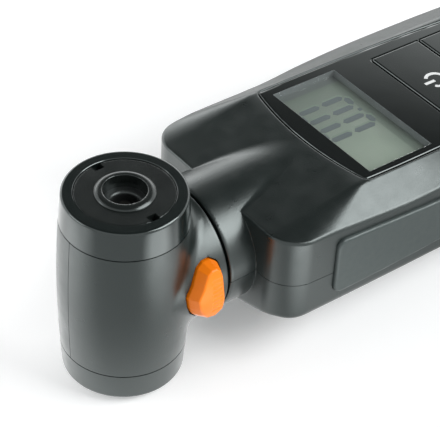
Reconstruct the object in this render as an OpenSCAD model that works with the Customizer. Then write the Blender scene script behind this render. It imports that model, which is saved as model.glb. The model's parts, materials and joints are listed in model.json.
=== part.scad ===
// Hand-held digital tyre gauge: a barrel-shaped valve head that swivels on a
// flat handle with a display, two keys and a press-to-deflate button.
// Frame: the barrel stands on Z with its lower rim at z = 0, and the handle
// runs from it along +X. The swivel axis lies along X at half barrel height.

/* [Barrel head] */
// Height of the barrel from rim to rim
barrel_h = 42.5; // [40:0.5:46]
// Radius of the barrel at its two rims
rim_r = 12; // [11.8:0.1:12.6]
// Radius of the barrel at half height
belly_r = 12.9; // [12.6:0.1:13.6]
// Height of each end cap
cap_h = 6.3; // [5.6:0.1:8]
// Wall of the head's half shells
head_wall = 2; // [1.6:0.1:2.4]
// Radius of the notched ring in each cap
ring_r = 9.7; // [9.2:0.1:9.9]
// Thickness of the notched ring's flange
ring_t = 2.2; // [1.8:0.1:2.6]
// Width of each spanner notch
notch_w = 1.9; // [1.4:0.1:2.4]
// Radial depth of each spanner notch
notch_d = 1.4; // [1:0.1:1.8]
// Height of the bead round the upper valve opening
bead_h = 0.55; // [0.3:0.05:0.9]
// Outer radius of the bead
bead_r = 5.9; // [5.6:0.1:6.4]
// Radius of the upper valve opening, for a car valve
car_valve_r = 4.2; // [4:0.05:4.4]
// Radius of the lower valve opening, for a slim cycle valve
slim_valve_r = 3.25; // [3.1:0.05:3.6]
// Depth of the guiding wall above each rubber seal
seal_depth = 2.35; // [2:0.05:3]
// Thickness of each rubber seal
seal_t = 3; // [2.4:0.1:3.4]

/* [Swivel] */
// Radius of the neck on the head and on the handle
neck_r = 13.4; // [13.2:0.1:14]
// Radius that the head's neck tapers to at the barrel axis
neck_root_r = 12.6; // [12.2:0.1:12.8]
// Distance from the barrel axis to the end of the head's neck
neck_end_x = 15.1; // [14.6:0.1:16]
// Gap between the two necks
swivel_gap = 0.5; // [0.4:0.05:0.8]
// Outer radius of the hollow spigot that the head turns on
spigot_r = 4; // [3.6:0.1:4.4]
// Radius of the air channel
air_r = 1.25; // [1:0.05:1.5]
// Radial running clearance of turning and sliding fits
run_fit = 0.06; // [0.03:0.01:0.1]

/* [Deflate button] */
// Distance of the button's centre from the barrel axis
button_x = 9; // [8.6:0.1:9.2]
// Angle of the button above the horizontal, round the neck
button_angle = 10.5; // [6:0.5:14]
// Height of the button's face above the neck
button_proud = 2.2; // [1.8:0.1:3]
// Inward lean of the button's sides, from the neck to its face
button_lean = 0.9; // [0.6:0.1:1.1]
// Travel of the button
button_travel = 1.2; // [0.8:0.1:1.4]
// Gap round the button
button_gap = 0.25; // [0.2:0.05:0.35]

/* [Handle] */
// Distance from the barrel axis to the handle's front wall
front_x = 21.7; // [21:0.1:24]
// Length of the handle from its front wall to its tail
body_l = 98; // [96:1:110]
// Width of the handle at its widest
body_w = 47.6; // [46:0.2:52]
// Distance from the front wall to the widest place
wide_at = 56; // [50:1:62]
// Drop of each side at the front wall, from the widest place
side_bow = 2; // [1.6:0.1:2.6]
// Plan radius of the front corners
front_corner_r = 6.5; // [5:0.5:8]
// Plan radius of the tail corners
tail_corner_r = 10; // [8:0.5:12]
// Bow radius of the tail
tail_bow_r = 70; // [60:5:90]
// Wall of the handle's shells
body_wall = 2.2; // [2:0.1:2.6]
// Thickness of the deck under the display panel
deck_t = 3; // [2.8:0.1:3.4]
// Height of the front wall's upper edge above the swivel axis
brow_h = 11.05; // [10.5:0.05:11.6]
// Height of the deck's front end above the swivel axis
deck_h = 14.05; // [13.8:0.05:14.6]
// Distance from the front wall to the deck's front end
slope_l = 21.6; // [20:0.1:24]
// Fall of the deck towards the tail, in degrees
deck_fall = 2.2; // [1.6:0.1:2.8]
// Half width of the flat deck
deck_half = 17.2; // [17:0.1:18]
// Fall of the deck's side bevels, mm per mm
bevel_fall = 0.72; // [0.6:0.02:0.8]
// Distance from the front wall to where the bevels begin to rise
shoulder_at = 26; // [22:0.1:29]
// Rise of the bevels there, mm per mm
shoulder_climb = 0.06; // [0.04:0.005:0.08]
// Fall of the shallower bevels behind them, mm per mm
shoulder_fall = 0.5; // [0.46:0.01:0.54]
// Rise of the shallower bevels towards the tail, mm per mm
shoulder_rise = 0.02; // [0.01:0.005:0.03]
// Distance from the front wall to where the shallower bevels start at the deck's edge
shoulder_flush_at = 66; // [62:0.1:70]
// Depth of the front wall's lower edge below the swivel axis
chin_d = 11.75; // [11.4:0.05:12.3]
// Rise of the lower bevels, mm per mm
chin_rise = 0.3; // [0.26:0.02:0.36]
// Half width of the flat under the front
chin_half = 8.4; // [8:0.1:9]
// Depth of the belly below the swivel axis
belly_d = 14.65; // [14.4:0.05:15.2]
// Half width of the belly's flat
belly_half = 14; // [13.6:0.1:15]
// Rise of the belly's side bevels, mm per mm
belly_rise = 0.75; // [0.7:0.05:0.9]

/* [Display and keys] */
// Length of the panel behind the second key
panel_tail = 8.1; // [6:0.1:12]
// Width of the black panel at its widest
panel_w = 33.8; // [33.4:0.1:33.9]
// Distance from the panel's front end to its widest place
panel_wide_at = 17; // [14:1:20]
// Drop of each long side at the panel's tail, from the widest place
panel_taper = 2; // [1.4:0.1:2.2]
// Thickness of the black panel
panel_t = 1.6; // [1.4:0.1:1.8]
// Bow of the panel's two ends
panel_bow = 2.2; // [1.6:0.1:2.4]
// Gap round the panel
panel_gap = 0.2; // [0.15:0.05:0.3]
// Distance from the deck's front end to the display window
window_at = 4.6; // [4.2:0.1:5]
// Length of the window along the handle
window_l = 16.5; // [15.5:0.1:17]
// Width of the window across the handle
window_w = 29.7; // [28:0.1:30]
// Thickness of the clear window
window_t = 1; // [0.8:0.1:1.2]
// Thickness of the display glass
lcd_t = 2.8; // [2.4:0.1:3]
// Border of the display glass round the window
lcd_border = 1.6; // [1.4:0.1:1.7]
// Distance from the deck's front end to the first key
key_at = 29.8; // [29:0.1:31]
// Length of each key along the handle
key_l = 13.1; // [12:0.1:13.4]
// Width of each key across the handle
key_w = 25.9; // [24:0.1:26.2]
// Gap between the two keys
key_split = 0.5; // [0.4:0.05:0.8]
// Corner radius of the keys
key_corner_r = 0.5; // [0.4:0.1:1.2]
// Height of the keys above the panel
key_proud = 0.35; // [0.2:0.05:0.5]
// Gap round each key
key_gap = 0.2; // [0.15:0.05:0.3]
// Travel of each key
key_travel = 0.5; // [0.3:0.05:0.6]

/* [Electronics] */
// Depth of the circuit board's upper face below the deck
board_depth = 7.6; // [7.4:0.1:8]
// Thickness of the circuit board
board_t = 1.6; // [1.4:0.1:1.8]
// Half width of the circuit board
board_half = 19; // [18.6:0.1:19.4]
// Side of each square key switch
switch_side = 6; // [5:0.1:6.4]

/* [Grip pads] */
// Distance from the front wall to the pads
pad_at = 12; // [11:0.5:13]
// Length of each pad
pad_l = 65; // [60:1:69]
// Height of the pads' middle above the swivel axis
pad_rise = 1.4; // [1:0.1:1.8]
// Height of the pad's front end
pad_front_h = 13.6; // [12.4:0.1:14]
// Height of the pad's rear end
pad_rear_h = 7; // [6:0.1:9]
// Corner radius of the pads
pad_corner_r = 2; // [1.4:0.1:2.6]
// Height of the pads above the shell
pad_proud = 0.8; // [0.6:0.1:1]
// Depth of the pads' seat in the shell
pad_seat = 1; // [0.8:0.1:1.2]

/* [Battery bay] */
// Distance from the front wall to the bay's centre
bay_at = 66; // [62:0.5:70]
// Radius of the coin cell
cell_r = 10; // [9:0.1:10.2]
// Thickness of the coin cell
cell_t = 3.2; // [2.5:0.1:3.4]
// Radius of the bay's turning door
door_r = 12; // [11.8:0.1:12.6]
// Thickness of the door
door_t = 2.4; // [2.2:0.1:2.8]
// Length of the coin slot in the door
slot_l = 14; // [10:0.5:18]
// Width of the coin slot
slot_w = 1.8; // [1.6:0.1:2.2]

/* [Screws] */
// Shank radius of the shell screws
screw_r = 1.2; // [1:0.05:1.4]
// Head radius of the shell screws
screw_head_r = 2.3; // [2:0.1:2.6]
// Radius of the shell screws' bosses
boss_r = 3.2; // [3:0.1:3.6]
// Height of the shell screws' heads
screw_head_h = 1.6; // [1.4:0.1:2]
// Distance from the front wall to the front pair of screws
screw_front_at = 11.5; // [10:0.5:12]
// Distance from the rear pair of screws to the tail
screw_tail_at = 10; // [9:0.5:12]
// Half distance between the front screws
screw_front_half = 15; // [14.5:0.5:15.5]
// Half distance between the rear screws
screw_tail_half = 14; // [13:0.5:14.5]

/* [Hidden] */

$fn = 96;
fine = 720;
eps = 0.01;
far = 60;

axis_z = barrel_h / 2;
barrel_bow = belly_r - rim_r;
barrel_arc_r = (pow(barrel_h / 2, 2) + pow(barrel_bow, 2)) / (2 * barrel_bow);
barrel_wall = 1.5;
skirt_t = 1.2;
skirt_h = 2;
part_fit = 0.05;
slot_fit = 0.1;
ring_seat_w = 1.3;
core_r = ring_r - ring_seat_w;
bead_lip = 0.1;
thread_r = bead_r - bead_lip;
thread_wall = 1.5;
block_r = thread_r + thread_wall;
block_setback = 0.6;
block_end = cap_h - block_setback;
branch_step = 0.9;
branch_r = block_r - branch_step;
spigot_stop = 2.6;
spigot_in_x = button_x + spigot_stop;
inner_end_x = neck_end_x - head_wall;
neck_cavity_r = neck_r - head_wall;
barrel_cavity_r = rim_r - barrel_wall;
handle_neck_x = neck_end_x + swivel_gap;

tail_x = front_x + body_l;
wide_x = front_x + wide_at;
half_w = body_w / 2;
side_r = (pow(wide_at, 2) + pow(side_bow, 2)) / (2 * side_bow);
deck_x = front_x + slope_l;
deck_z = axis_z + deck_h;

bearing_wall = 4;
bearing_r = spigot_r + bearing_wall;
bearing_lip_w = 1.6;
bearing_lip_r = spigot_r + bearing_lip_w;
bearing_lip_t = 1.8;
bearing_l = 10.4;
bearing_end_x = handle_neck_x + bearing_l;
clip_t = 0.8;
clip_gap = 0.2;
clip_w = 2.4;
clip_r = spigot_r + clip_w;
clip_slot = 3.2;
block_gap = 2.6;
block_x = bearing_end_x + block_gap;
socket_l = 5.4;
socket_play = 0.4;
spigot_end_x = block_x + socket_l - socket_play;
sensor_block_l = 11.5;
sensor_block_half = 7;
sensor_block_drop = 6.8;
cradle_inset = 1;
sensor_block_end_x = block_x + sensor_block_l;
sensor_in = 7.2;
sensor_x = deck_x + sensor_in;
sensor_l = 7.5;
sensor_half = 4;
sensor_drop = 3;
nipple_r = 1.6;
nipple_space = 1.4;
nipple_l = (sensor_x - sensor_block_end_x - nipple_space) / 2;
hose_r = 2.6;
hose_play = 0.7;
hose_l = sensor_x - sensor_block_end_x - 2 * hose_play;

// ---- plain helpers ----

module along_x() rotate([0, 90, 0]) children();

module ring(r_out, r_in, h) {
  difference() {
    cylinder(r = r_out, h = h);
    translate([0, 0, -eps]) cylinder(r = r_in, h = h + 2 * eps);
  }
}

module rounded_rect(l, w, r) {
  translate([r, -w / 2]) square([l - 2 * r, w]);
  translate([0, -w / 2 + r]) square([l, w - 2 * r]);
  for (x = [r, l - r], y = [-w / 2 + r, w / 2 - r]) translate([x, y]) circle(r = r);
}

// ---- barrel head ----

// The barrel's profile is a shallow arc between the two rims, less an inset.
module barrel(z_low, z_high) {
  rotate_extrude() intersection() {
    translate([belly_r - barrel_arc_r, axis_z]) circle(r = barrel_arc_r, $fn = fine);
    translate([0, z_low]) square([belly_r, z_high - z_low]);
  }
}

// Puts what is drawn for the top end at the bottom end.
module at_bottom() translate([0, 0, barrel_h]) mirror([0, 0, 1]) children();

module cap() {
  seam = barrel_h - cap_h;
  difference() {
    union() {
      barrel(seam, barrel_h);
      translate([0, 0, seam - skirt_h]) cylinder(r = barrel_cavity_r - part_fit, h = skirt_h + eps);
    }
    translate([0, 0, barrel_h - ring_t]) cylinder(r = ring_r, h = ring_t + eps);
    translate([0, 0, seam - skirt_h - eps]) cylinder(r = core_r, h = cap_h + skirt_h);
    translate([0, 0, seam - skirt_h - eps])
      cylinder(r = barrel_cavity_r - part_fit - skirt_t, h = skirt_h);
  }
}

notch_h = 1;
seal_grip = 0.6;

module notches() {
  for (side = [-1, 1])
    translate([-notch_w / 2, side * (ring_r - notch_d / 2) - notch_d / 2, barrel_h - notch_h])
      cube([notch_w, notch_d, notch_h + eps]);
}

// Screwed ring that holds the cap and the seal; hole_r is its valve opening.
module valve_ring(hole_r, bead) {
  foot_z = barrel_h - seal_depth - seal_t;
  difference() {
    union() {
      translate([0, 0, barrel_h - ring_t]) cylinder(r = ring_r - part_fit, h = ring_t);
      translate([0, 0, foot_z]) cylinder(r = thread_r, h = barrel_h - foot_z);
      if (bead > 0) translate([0, 0, barrel_h - eps]) cylinder(r = bead_r, h = bead + eps);
    }
    translate([0, 0, barrel_h - seal_depth]) cylinder(r = hole_r, h = seal_depth + bead + eps);
    translate([0, 0, foot_z - eps]) cylinder(r = hole_r + seal_grip, h = seal_t + 2 * eps);
    notches();
  }
}

// Rubber seal with a rounded lip, clamped under the ring's shoulder.
module valve_seal(hole_r) {
  lip_r = hole_r - 1.6;
  lip_round = 0.8;
  translate([0, 0, barrel_h - seal_depth - seal_t]) rotate_extrude() {
    translate([lip_r, 0]) square([hole_r + seal_grip - lip_r, seal_t - lip_round]);
    translate([lip_r + lip_round, 0]) square([hole_r + seal_grip - lip_r - lip_round, seal_t]);
    translate([lip_r + lip_round, seal_t - lip_round]) circle(r = lip_round);
  }
}

pin_disc_t = 1.2;
pin_disc_edge = 0.8;
pin_r = 1.1;
pin_rise = 2.2;
vent_r = 0.8;
vent_at = 2.9;
pin_well = seal_depth + seal_t + pin_disc_t;

// Pin on a pierced disc that opens the tyre valve's core.
module core_pin() {
  disc_z = barrel_h - pin_well;
  difference() {
    translate([0, 0, disc_z]) cylinder(r = thread_r - pin_disc_edge, h = pin_disc_t);
    for (a = [0:60:300])
      rotate(a) translate([vent_at, 0, disc_z - eps]) cylinder(r = vent_r, h = pin_disc_t + 2 * eps);
  }
  translate([0, 0, disc_z]) cylinder(r = pin_r, h = pin_disc_t + pin_rise);
}

module top_cap() color([0.2, 0.22, 0.22]) cap();
module bottom_cap() color([0.2, 0.22, 0.22]) at_bottom() cap();
module top_ring() color([0.14, 0.16, 0.16]) valve_ring(car_valve_r, bead_h);
module bottom_ring() color([0.14, 0.16, 0.16]) at_bottom() valve_ring(slim_valve_r, 0);
module top_seal() color([0.08, 0.08, 0.08]) valve_seal(car_valve_r);
module bottom_seal() color([0.08, 0.08, 0.08]) at_bottom() valve_seal(slim_valve_r);
module top_core_pin() color([0.8, 0.65, 0.35]) core_pin();
module bottom_core_pin() color([0.8, 0.65, 0.35]) at_bottom() core_pin();

// Metal block that joins both valve ends, the spigot and the deflate valve.
module air_block() color([0.72, 0.74, 0.76]) {
  difference() {
    union() {
      translate([0, 0, block_end]) cylinder(r = block_r, h = barrel_h - 2 * block_end);
      translate([0, 0, axis_z]) along_x() cylinder(r = branch_r, h = inner_end_x);
      deflate_frame() cylinder(r = chimney_r, h = chimney_h);
    }
    for (end = [0, 1]) mirror_end(end) {
      translate([0, 0, barrel_h - seal_depth - seal_t - eps]) cylinder(r = thread_r, h = cap_h);
      translate([0, 0, barrel_h - pin_well]) cylinder(r = thread_r - pin_disc_edge, h = pin_well);
    }
    cylinder(r = air_r, h = barrel_h);
    translate([0, 0, axis_z]) along_x() cylinder(r = air_r, h = inner_end_x);
    translate([spigot_in_x, 0, axis_z]) along_x() cylinder(r = spigot_r, h = inner_end_x);
    deflate_frame() cylinder(r = chamber_r, h = seat_z);
    deflate_frame() cylinder(r = stem_r + stem_fit, h = chimney_h + eps);
  }
}

module mirror_end(end) {
  if (end == 0) children();
  else at_bottom() children();
}

// ---- head shells ----

head_boss_x = 9;
head_boss_up = 9.1;
head_boss_r = 2.1;
head_screw_r = 0.9;
head_screw_head_r = 1.7;
head_screw_head_h = 1.2;
head_screw_y = 6.2;
head_screw_tip_y = -4.6;
head_boss_half = 7.4;
screw_play = 0.4;
cross_w = 0.4;
cross_l = 2.2;
cross_d = 0.8;
rib_t = 1.6;
rib_gap = 1;
spigot_pass = 0.2;

module head_bosses(r, y_low, y_high) {
  for (side = [-1, 1])
    translate([head_boss_x, y_low, axis_z + side * head_boss_up])
      rotate([-90, 0, 0]) cylinder(r = r, h = y_high - y_low);
}

// Both halves of the head in one: barrel middle and neck, hollow, with ribs
// that hold the air block.
module head_body() {
  low = cap_h;
  high = barrel_h - cap_h;
  difference() {
    union() {
      barrel(low, high);
      intersection() {
        translate([0, 0, axis_z]) along_x() cylinder(r1 = neck_root_r, r2 = neck_r, h = neck_end_x);
        translate([0, -far, 0]) cube([far, 2 * far, barrel_h]);
      }
    }
    difference() {
      union() {
        translate([0, 0, low - eps]) cylinder(r = barrel_cavity_r, h = high - low + 2 * eps);
        translate([0, 0, axis_z]) along_x() cylinder(r = neck_cavity_r, h = inner_end_x);
      }
      for (z = [low + skirt_h + rib_gap, high - skirt_h - rib_gap - rib_t])
        translate([0, 0, z]) cylinder(r = barrel_cavity_r + eps, h = rib_t);
      head_bosses(head_boss_r, -head_boss_half, head_boss_half);
    }
    translate([0, 0, low]) cylinder(r = block_r + part_fit, h = high - low);
    translate([0, 0, axis_z]) along_x() cylinder(r = branch_r + part_fit, h = inner_end_x);
    translate([0, 0, axis_z]) along_x() cylinder(r = spigot_r + spigot_pass, h = neck_end_x + eps);
    head_bosses(head_screw_r, head_screw_tip_y - screw_play, head_screw_y + eps);
    head_bosses(head_screw_head_r, head_screw_y, far);
    deflate_frame() translate([0, 0, branch_r]) linear_extrude(far)
      polygon(grown(button_outline, button_gap));
  }
}

module half(side) {
  intersection() {
    children();
    translate([-far, side < 0 ? -far : 0, -far]) cube([4 * far, far, 3 * far]);
  }
}

module head_shell_near() color([0.26, 0.28, 0.28]) half(-1) head_body();
module head_shell_far() color([0.26, 0.28, 0.28]) half(1) head_body();

module head_screws() color([0.6, 0.6, 0.62]) {
  difference() {
    union() {
      head_bosses(head_screw_r, head_screw_tip_y, head_screw_y);
      head_bosses(head_screw_head_r - slot_fit, head_screw_y, head_screw_y + head_screw_head_h);
    }
    for (side = [-1, 1], turn = [0, 90])
      translate([head_boss_x, head_screw_y + head_screw_head_h, axis_z + side * head_boss_up])
        rotate([0, turn, 0]) cube([cross_l, 2 * cross_d, cross_w], center = true);
  }
}

// ---- deflate button: local z points out of the neck, local y goes up it ----

button_outline = [
  [1.4, 4.75], [2.8, 4.65], [3.8, 3.85], [4.15, 2.3], [4.2, -1.5], [4.2, -4.5], [3.9, -7.2],
  [2.2, -8.6], [0.1, -8.1], [-1.7, -6.4], [-2.9, -4.3], [-3.65, -1.7], [-2.35, 1.05],
  [-1.3, 2.7], [0.1, 4.2],
];
button_steps = 5;
button_reach = 0.6;
button_back = neck_cavity_r - button_reach;
stem_r = 1.4;
stem_fit = 0.15;
stem_socket = 2;
chamber_r = 2.4;
chimney_r = 3.4;
chimney_rise = 1;
chimney_h = branch_r + chimney_rise;
seat_z = 4;
poppet_t = 1;
poppet_r = 2;
seal_disc_t = 0.4;

// Moves each point of an outline about its origin outwards by a distance.
function grown(points, by) = [for (p = points) p * (1 + by / norm(p))];

module deflate_frame() {
  translate([button_x, 0, axis_z]) rotate([-button_angle, 0, 0]) rotate([90, 0, 0]) children();
}

// Prism of the button's outline, closed by a face concentric with the neck.
module button_step(outline, face_r) {
  intersection() {
    translate([0, 0, button_back]) linear_extrude(face_r) polygon(outline);
    along_x() cylinder(r = face_r, h = far, center = true);
  }
}

module deflate_button() color([0.95, 0.42, 0.08]) deflate_frame() {
  difference() {
    for (k = [1:button_steps])
      button_step(grown(button_outline, -button_lean * (k - 1) / (button_steps - 1)),
        neck_r + button_proud * k / button_steps);
    translate([0, 0, button_back - eps]) cylinder(r = stem_r, h = stem_socket);
  }
}

module deflate_stem() color([0.75, 0.75, 0.77]) deflate_frame() {
  translate([0, 0, seat_z - seal_disc_t - poppet_t]) cylinder(r = poppet_r, h = poppet_t);
  translate([0, 0, seat_z - seal_disc_t - eps])
    cylinder(r = stem_r, h = button_back + stem_socket - seat_z + seal_disc_t);
}

module deflate_seal() color([0.08, 0.08, 0.08]) deflate_frame()
  translate([0, 0, seat_z - seal_disc_t]) ring(poppet_r, stem_r, seal_disc_t);

// Return spring: one unbroken helical tube round the stem.
spring_turns = 3;
spring_wire_r = 0.22;
spring_gap = 0.75;
spring_r = stem_r + spring_gap;
spring_steps = 16;
spring_sides = 6;
spring_low = chimney_h + spring_wire_r;
spring_high = button_back - spring_wire_r;
function spring_point(k) =
  let (t = k / spring_steps, a = 360 * t)
  [spring_r * cos(a), spring_r * sin(a), spring_low + (spring_high - spring_low) * t / spring_turns];
function spring_ring(k) =
  let (a = 360 * k / spring_steps, c = spring_point(k))
  [for (s = [0:spring_sides - 1])
    let (b = 360 * s / spring_sides)
    c + spring_wire_r * [cos(b) * cos(a), cos(b) * sin(a), sin(b)]];
spring_rings = spring_turns * spring_steps;
echo(turn_gap = (spring_high - spring_low) / spring_turns - 2 * spring_wire_r);

module deflate_spring() color([0.8, 0.8, 0.82]) deflate_frame() {
  n = spring_sides;
  points = [for (k = [0:spring_rings]) each spring_ring(k)];
  walls = [for (k = [0:spring_rings - 1], s = [0:n - 1])
    let (a = k * n + s, b = k * n + (s + 1) % n)
    each [[a, a + n, b + n], [a, b + n, b]]];
  start = [for (s = [0:n - 1]) s];
  finish = [for (s = [n - 1:-1:0]) spring_rings * n + s];
  polyhedron(points, concat(walls, [start], [finish]));
}

// ---- swivel ----

groove_d = 0.8;
groove_front_at = 7.2;
groove_rear_at = 2.6;
o_ring_x = [bearing_end_x - groove_front_at, block_x + groove_rear_at];
o_ring_wire_r = 0.8;
clip_groove_d = 0.9;
washer_inset = 2.4;

module swivel_spigot() color([0.8, 0.65, 0.35]) {
  difference() {
    translate([spigot_in_x, 0, axis_z]) along_x() cylinder(r = spigot_r, h = spigot_end_x - spigot_in_x);
    translate([0, 0, axis_z]) along_x() cylinder(r = air_r, h = far);
    for (x = o_ring_x)
      translate([x - o_ring_wire_r, 0, axis_z]) along_x() ring(spigot_r + 1, spigot_r - groove_d, 2 * o_ring_wire_r);
    translate([bearing_end_x + clip_gap, 0, axis_z]) along_x()
      ring(spigot_r + 1, spigot_r - clip_groove_d, clip_t);
  }
}

// Two sealing rings, flattened where they meet the bores that they run in.
module spigot_o_rings() color([0.06, 0.06, 0.06]) {
  for (x = o_ring_x)
    translate([x, 0, axis_z]) along_x() rotate_extrude() intersection() {
      translate([spigot_r, 0]) circle(r = o_ring_wire_r, $fn = 32);
      translate([spigot_r - groove_d, -o_ring_wire_r]) square([groove_d + run_fit / 2, 2 * o_ring_wire_r]);
    }
}

module spigot_clip() color([0.7, 0.7, 0.72]) {
  translate([bearing_end_x + clip_gap, 0, axis_z]) along_x() difference() {
    ring(clip_r, spigot_r - clip_groove_d, clip_t);
    translate([0, -clip_slot / 2, -eps]) cube([clip_r + 1, clip_slot, clip_t + 2 * eps]);
  }
}

module swivel_washer() color([0.05, 0.05, 0.05]) {
  translate([neck_end_x, 0, axis_z]) along_x()
    ring(neck_r - washer_inset, spigot_r + run_fit, swivel_gap - run_fit);
}

module swivel_bearing() color([0.85, 0.85, 0.82]) {
  translate([0, 0, axis_z]) along_x() difference() {
    union() {
      translate([0, 0, handle_neck_x]) cylinder(r = bearing_lip_r, h = bearing_end_x - handle_neck_x);
      translate([0, 0, handle_neck_x + bearing_lip_t])
        cylinder(r = bearing_r, h = bearing_end_x - handle_neck_x - bearing_lip_t);
    }
    translate([0, 0, handle_neck_x - eps]) cylinder(r = spigot_r + run_fit, h = far);
  }
}

// ---- handle form ----

// Plan outline of the handle, less an inset all round.
module plan(inset) {
  front_r = max(front_corner_r - inset, 1);
  tail_r = max(tail_corner_r - inset, 1);
  front_half = half_w - side_bow - inset;
  tail_half = half_w - pow(tail_x - wide_x, 2) / (2 * side_r) - inset;
  difference() {
    intersection() {
      intersection_for (side = [-1, 1])
        translate([wide_x, -side * (side_r - half_w + inset)]) circle(r = side_r, $fn = fine);
      translate([front_x + inset, -far]) square([body_l - 2 * inset, 2 * far]);
      translate([tail_x - tail_bow_r - inset, 0]) circle(r = tail_bow_r, $fn = fine);
    }
    for (side = [-1, 1]) {
      translate([front_x + inset, side * front_half]) corner_cut(1, -side, front_r);
      translate([tail_x - inset, side * tail_half]) corner_cut(-1, -side, tail_r);
    }
  }
}

// Cuts a square corner round; sx and sy point into the outline.
module corner_cut(sx, sy, r) {
  scale_x = sx > 0 ? 0 : 1;
  scale_y = sy > 0 ? 0 : 1;
  mirror([scale_x, 0]) mirror([0, scale_y]) difference() {
    translate([-2, -2]) square([r + 2, r + 2]);
    translate([r, r]) circle(r = r);
  }
}

// Frame on the deck: x runs back along it, z points out of it.
module deck_frame() translate([deck_x, 0, deck_z]) rotate([0, deck_fall, 0]) children();

// Everything under two side bevels that leave the deck's edges at some distance from the front wall.
module side_bevels(fall, rise, at, inset) {
  bevel_in = inset * sqrt(1 + pow(fall, 2));
  low = -fall * (far - deck_half) - bevel_in;
  translate([at - slope_l, 0, 0]) rotate([0, -atan(rise), 0]) rotate([90, 0, 90]) translate([0, 0, -far])
    linear_extrude(3 * far) polygon([
      [-far, -far], [-far, low], [-deck_half, -bevel_in], [deck_half, -bevel_in], [far, low], [far, -far],
    ]);
}

// Everything under the deck, its side bevels and the front slope.
module under_deck(inset, deck_inset) {
  slope_in = inset * sqrt(1 + pow((deck_h - brow_h) / slope_l, 2));
  brow_z = axis_z + brow_h - slope_in;
  rise = (deck_h - brow_h) / slope_l;
  intersection() {
    deck_frame() union() {
      side_bevels(bevel_fall, 0, slope_l, inset);
      intersection() {
        side_bevels(bevel_fall, shoulder_climb, shoulder_at, inset);
        side_bevels(shoulder_fall, shoulder_rise, shoulder_flush_at, inset);
      }
    }
    deck_frame() translate([-far, -far, -far - deck_inset]) cube([3 * far, 2 * far, far]);
    rotate([90, 0, 0]) translate([0, 0, -far]) linear_extrude(2 * far)
      polygon([[front_x - 5, -far], [front_x - 5, brow_z - 5 * rise],
        [tail_x + 5, brow_z + rise * (tail_x + 5 - front_x)], [tail_x + 5, -far]]);
  }
}

pod_rise = 3.6;
pod_setback = 2;
tail_kick_l = 8;
tail_kick_h = 4;

// Everything above the lower bevels and the belly.
module over_belly(inset) {
  chin_z = axis_z - chin_d + inset;
  belly_z = axis_z - belly_d + inset;
  belly_in = inset * (sqrt(1 + pow(belly_rise, 2)) - 1);
  union() {
    rotate([90, 0, 90]) linear_extrude(3 * far) polygon([
      [-chin_half, chin_z], [chin_half, chin_z],
      [far, chin_z + chin_rise * (far - chin_half)], [far, 3 * far],
      [-far, 3 * far], [-far, chin_z + chin_rise * (far - chin_half)],
    ]);
    intersection() {
      rotate([90, 0, 90]) linear_extrude(3 * far) polygon([
        [-belly_half, belly_z + belly_in], [belly_half, belly_z + belly_in],
        [far, belly_z + belly_in + belly_rise * (far - belly_half)], [far, 3 * far],
        [-far, 3 * far], [-far, belly_z + belly_in + belly_rise * (far - belly_half)],
      ]);
      rotate([90, 0, 0]) translate([0, 0, -far]) linear_extrude(2 * far) polygon([
        [front_x, chin_z + pod_rise], [deck_x - pod_setback, belly_z], [tail_x - tail_kick_l, belly_z],
        [tail_x, belly_z + tail_kick_h], [tail_x, 2 * far], [front_x, 2 * far],
      ]);
    }
  }
}

module handle_form(inset, deck_inset) {
  intersection() {
    linear_extrude(2 * far) plan(inset);
    under_deck(inset, deck_inset);
    over_belly(inset);
  }
}

// Neck that leaves the front wall and fades out on the front slope.
module handle_neck() {
  translate([handle_neck_x, 0, axis_z]) along_x() cylinder(r = neck_r, h = deck_x - handle_neck_x - 1);
}

// ---- grip pads ----

pad_x = front_x + pad_at;
pad_mid_z = axis_z + pad_rise;

module pad_side(grow) {
  l = pad_l + 2 * grow;
  fall = (pad_front_h - pad_rear_h) / 2;
  r = pad_corner_r;
  translate([pad_x - grow, 0, pad_mid_z]) rotate([90, 0, 0]) translate([0, 0, -far])
    linear_extrude(2 * far) intersection() {
      rounded_rect(l, pad_front_h + 2 * grow, r);
      polygon([[-1, -pad_front_h / 2 - grow], [-1, pad_front_h / 2 + grow], [r, pad_front_h / 2 + grow],
        [l + 1, pad_front_h / 2 - fall + grow], [l + 1, -pad_front_h / 2 + fall - grow],
        [r, -pad_front_h / 2 - grow]]);
    }
}

module pad_seats() {
  difference() {
    intersection() {
      pad_side(part_fit);
      translate([0, -far, 0]) cube([3 * far, 2 * far, 2 * far]);
    }
    linear_extrude(2 * far) plan(pad_seat);
  }
}

module grip_pad(side) {
  half(side) difference() {
    intersection() {
      pad_side(0);
      linear_extrude(2 * far) plan(-pad_proud);
    }
    linear_extrude(2 * far) plan(pad_seat);
  }
}

module grip_near() color([0.2, 0.22, 0.22]) grip_pad(-1);
module grip_far() color([0.2, 0.22, 0.22]) grip_pad(1);

// ---- shells ----

screw_x = [front_x + screw_front_at, tail_x - screw_tail_at];
screw_y = [screw_front_half, screw_tail_half];
screw_seat_d = 6.5;
screw_tip_h = 6;
screw_seat_z = axis_z - screw_seat_d;
screw_tip_z = axis_z + screw_tip_h;
screw_fit = 0.15;
bay_x = front_x + bay_at;
belly_z = axis_z - belly_d;
door_sunk = 0.2;
door_face_z = belly_z + door_sunk;
door_top_z = door_face_z + door_t;
cell_lift = 0.2;
cell_z = door_top_z + cell_lift;
leaf_space = 0.6;
bay_roof_z = cell_z + cell_t + leaf_space;
bay_roof_t = 1;
bay_wall = 1.8;
door_fit = 0.1;
cell_fit = 0.3;
lcd_l = window_l + 2 * lcd_border;
lcd_w = window_w + 2 * lcd_border;
panel_l = key_at + 2 * key_l + key_split + panel_tail;
board_x = 1.2;
board_tail = 2.9;
board_l = panel_l - board_x - board_tail;
post_front_in = 2.2;
post_rear_in = 3.6;
post_x = [board_x + post_front_in, board_x + board_l - post_rear_in];
post_edge = 1.8;
post_y = board_half - post_edge;
post_r = 1.7;

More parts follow.
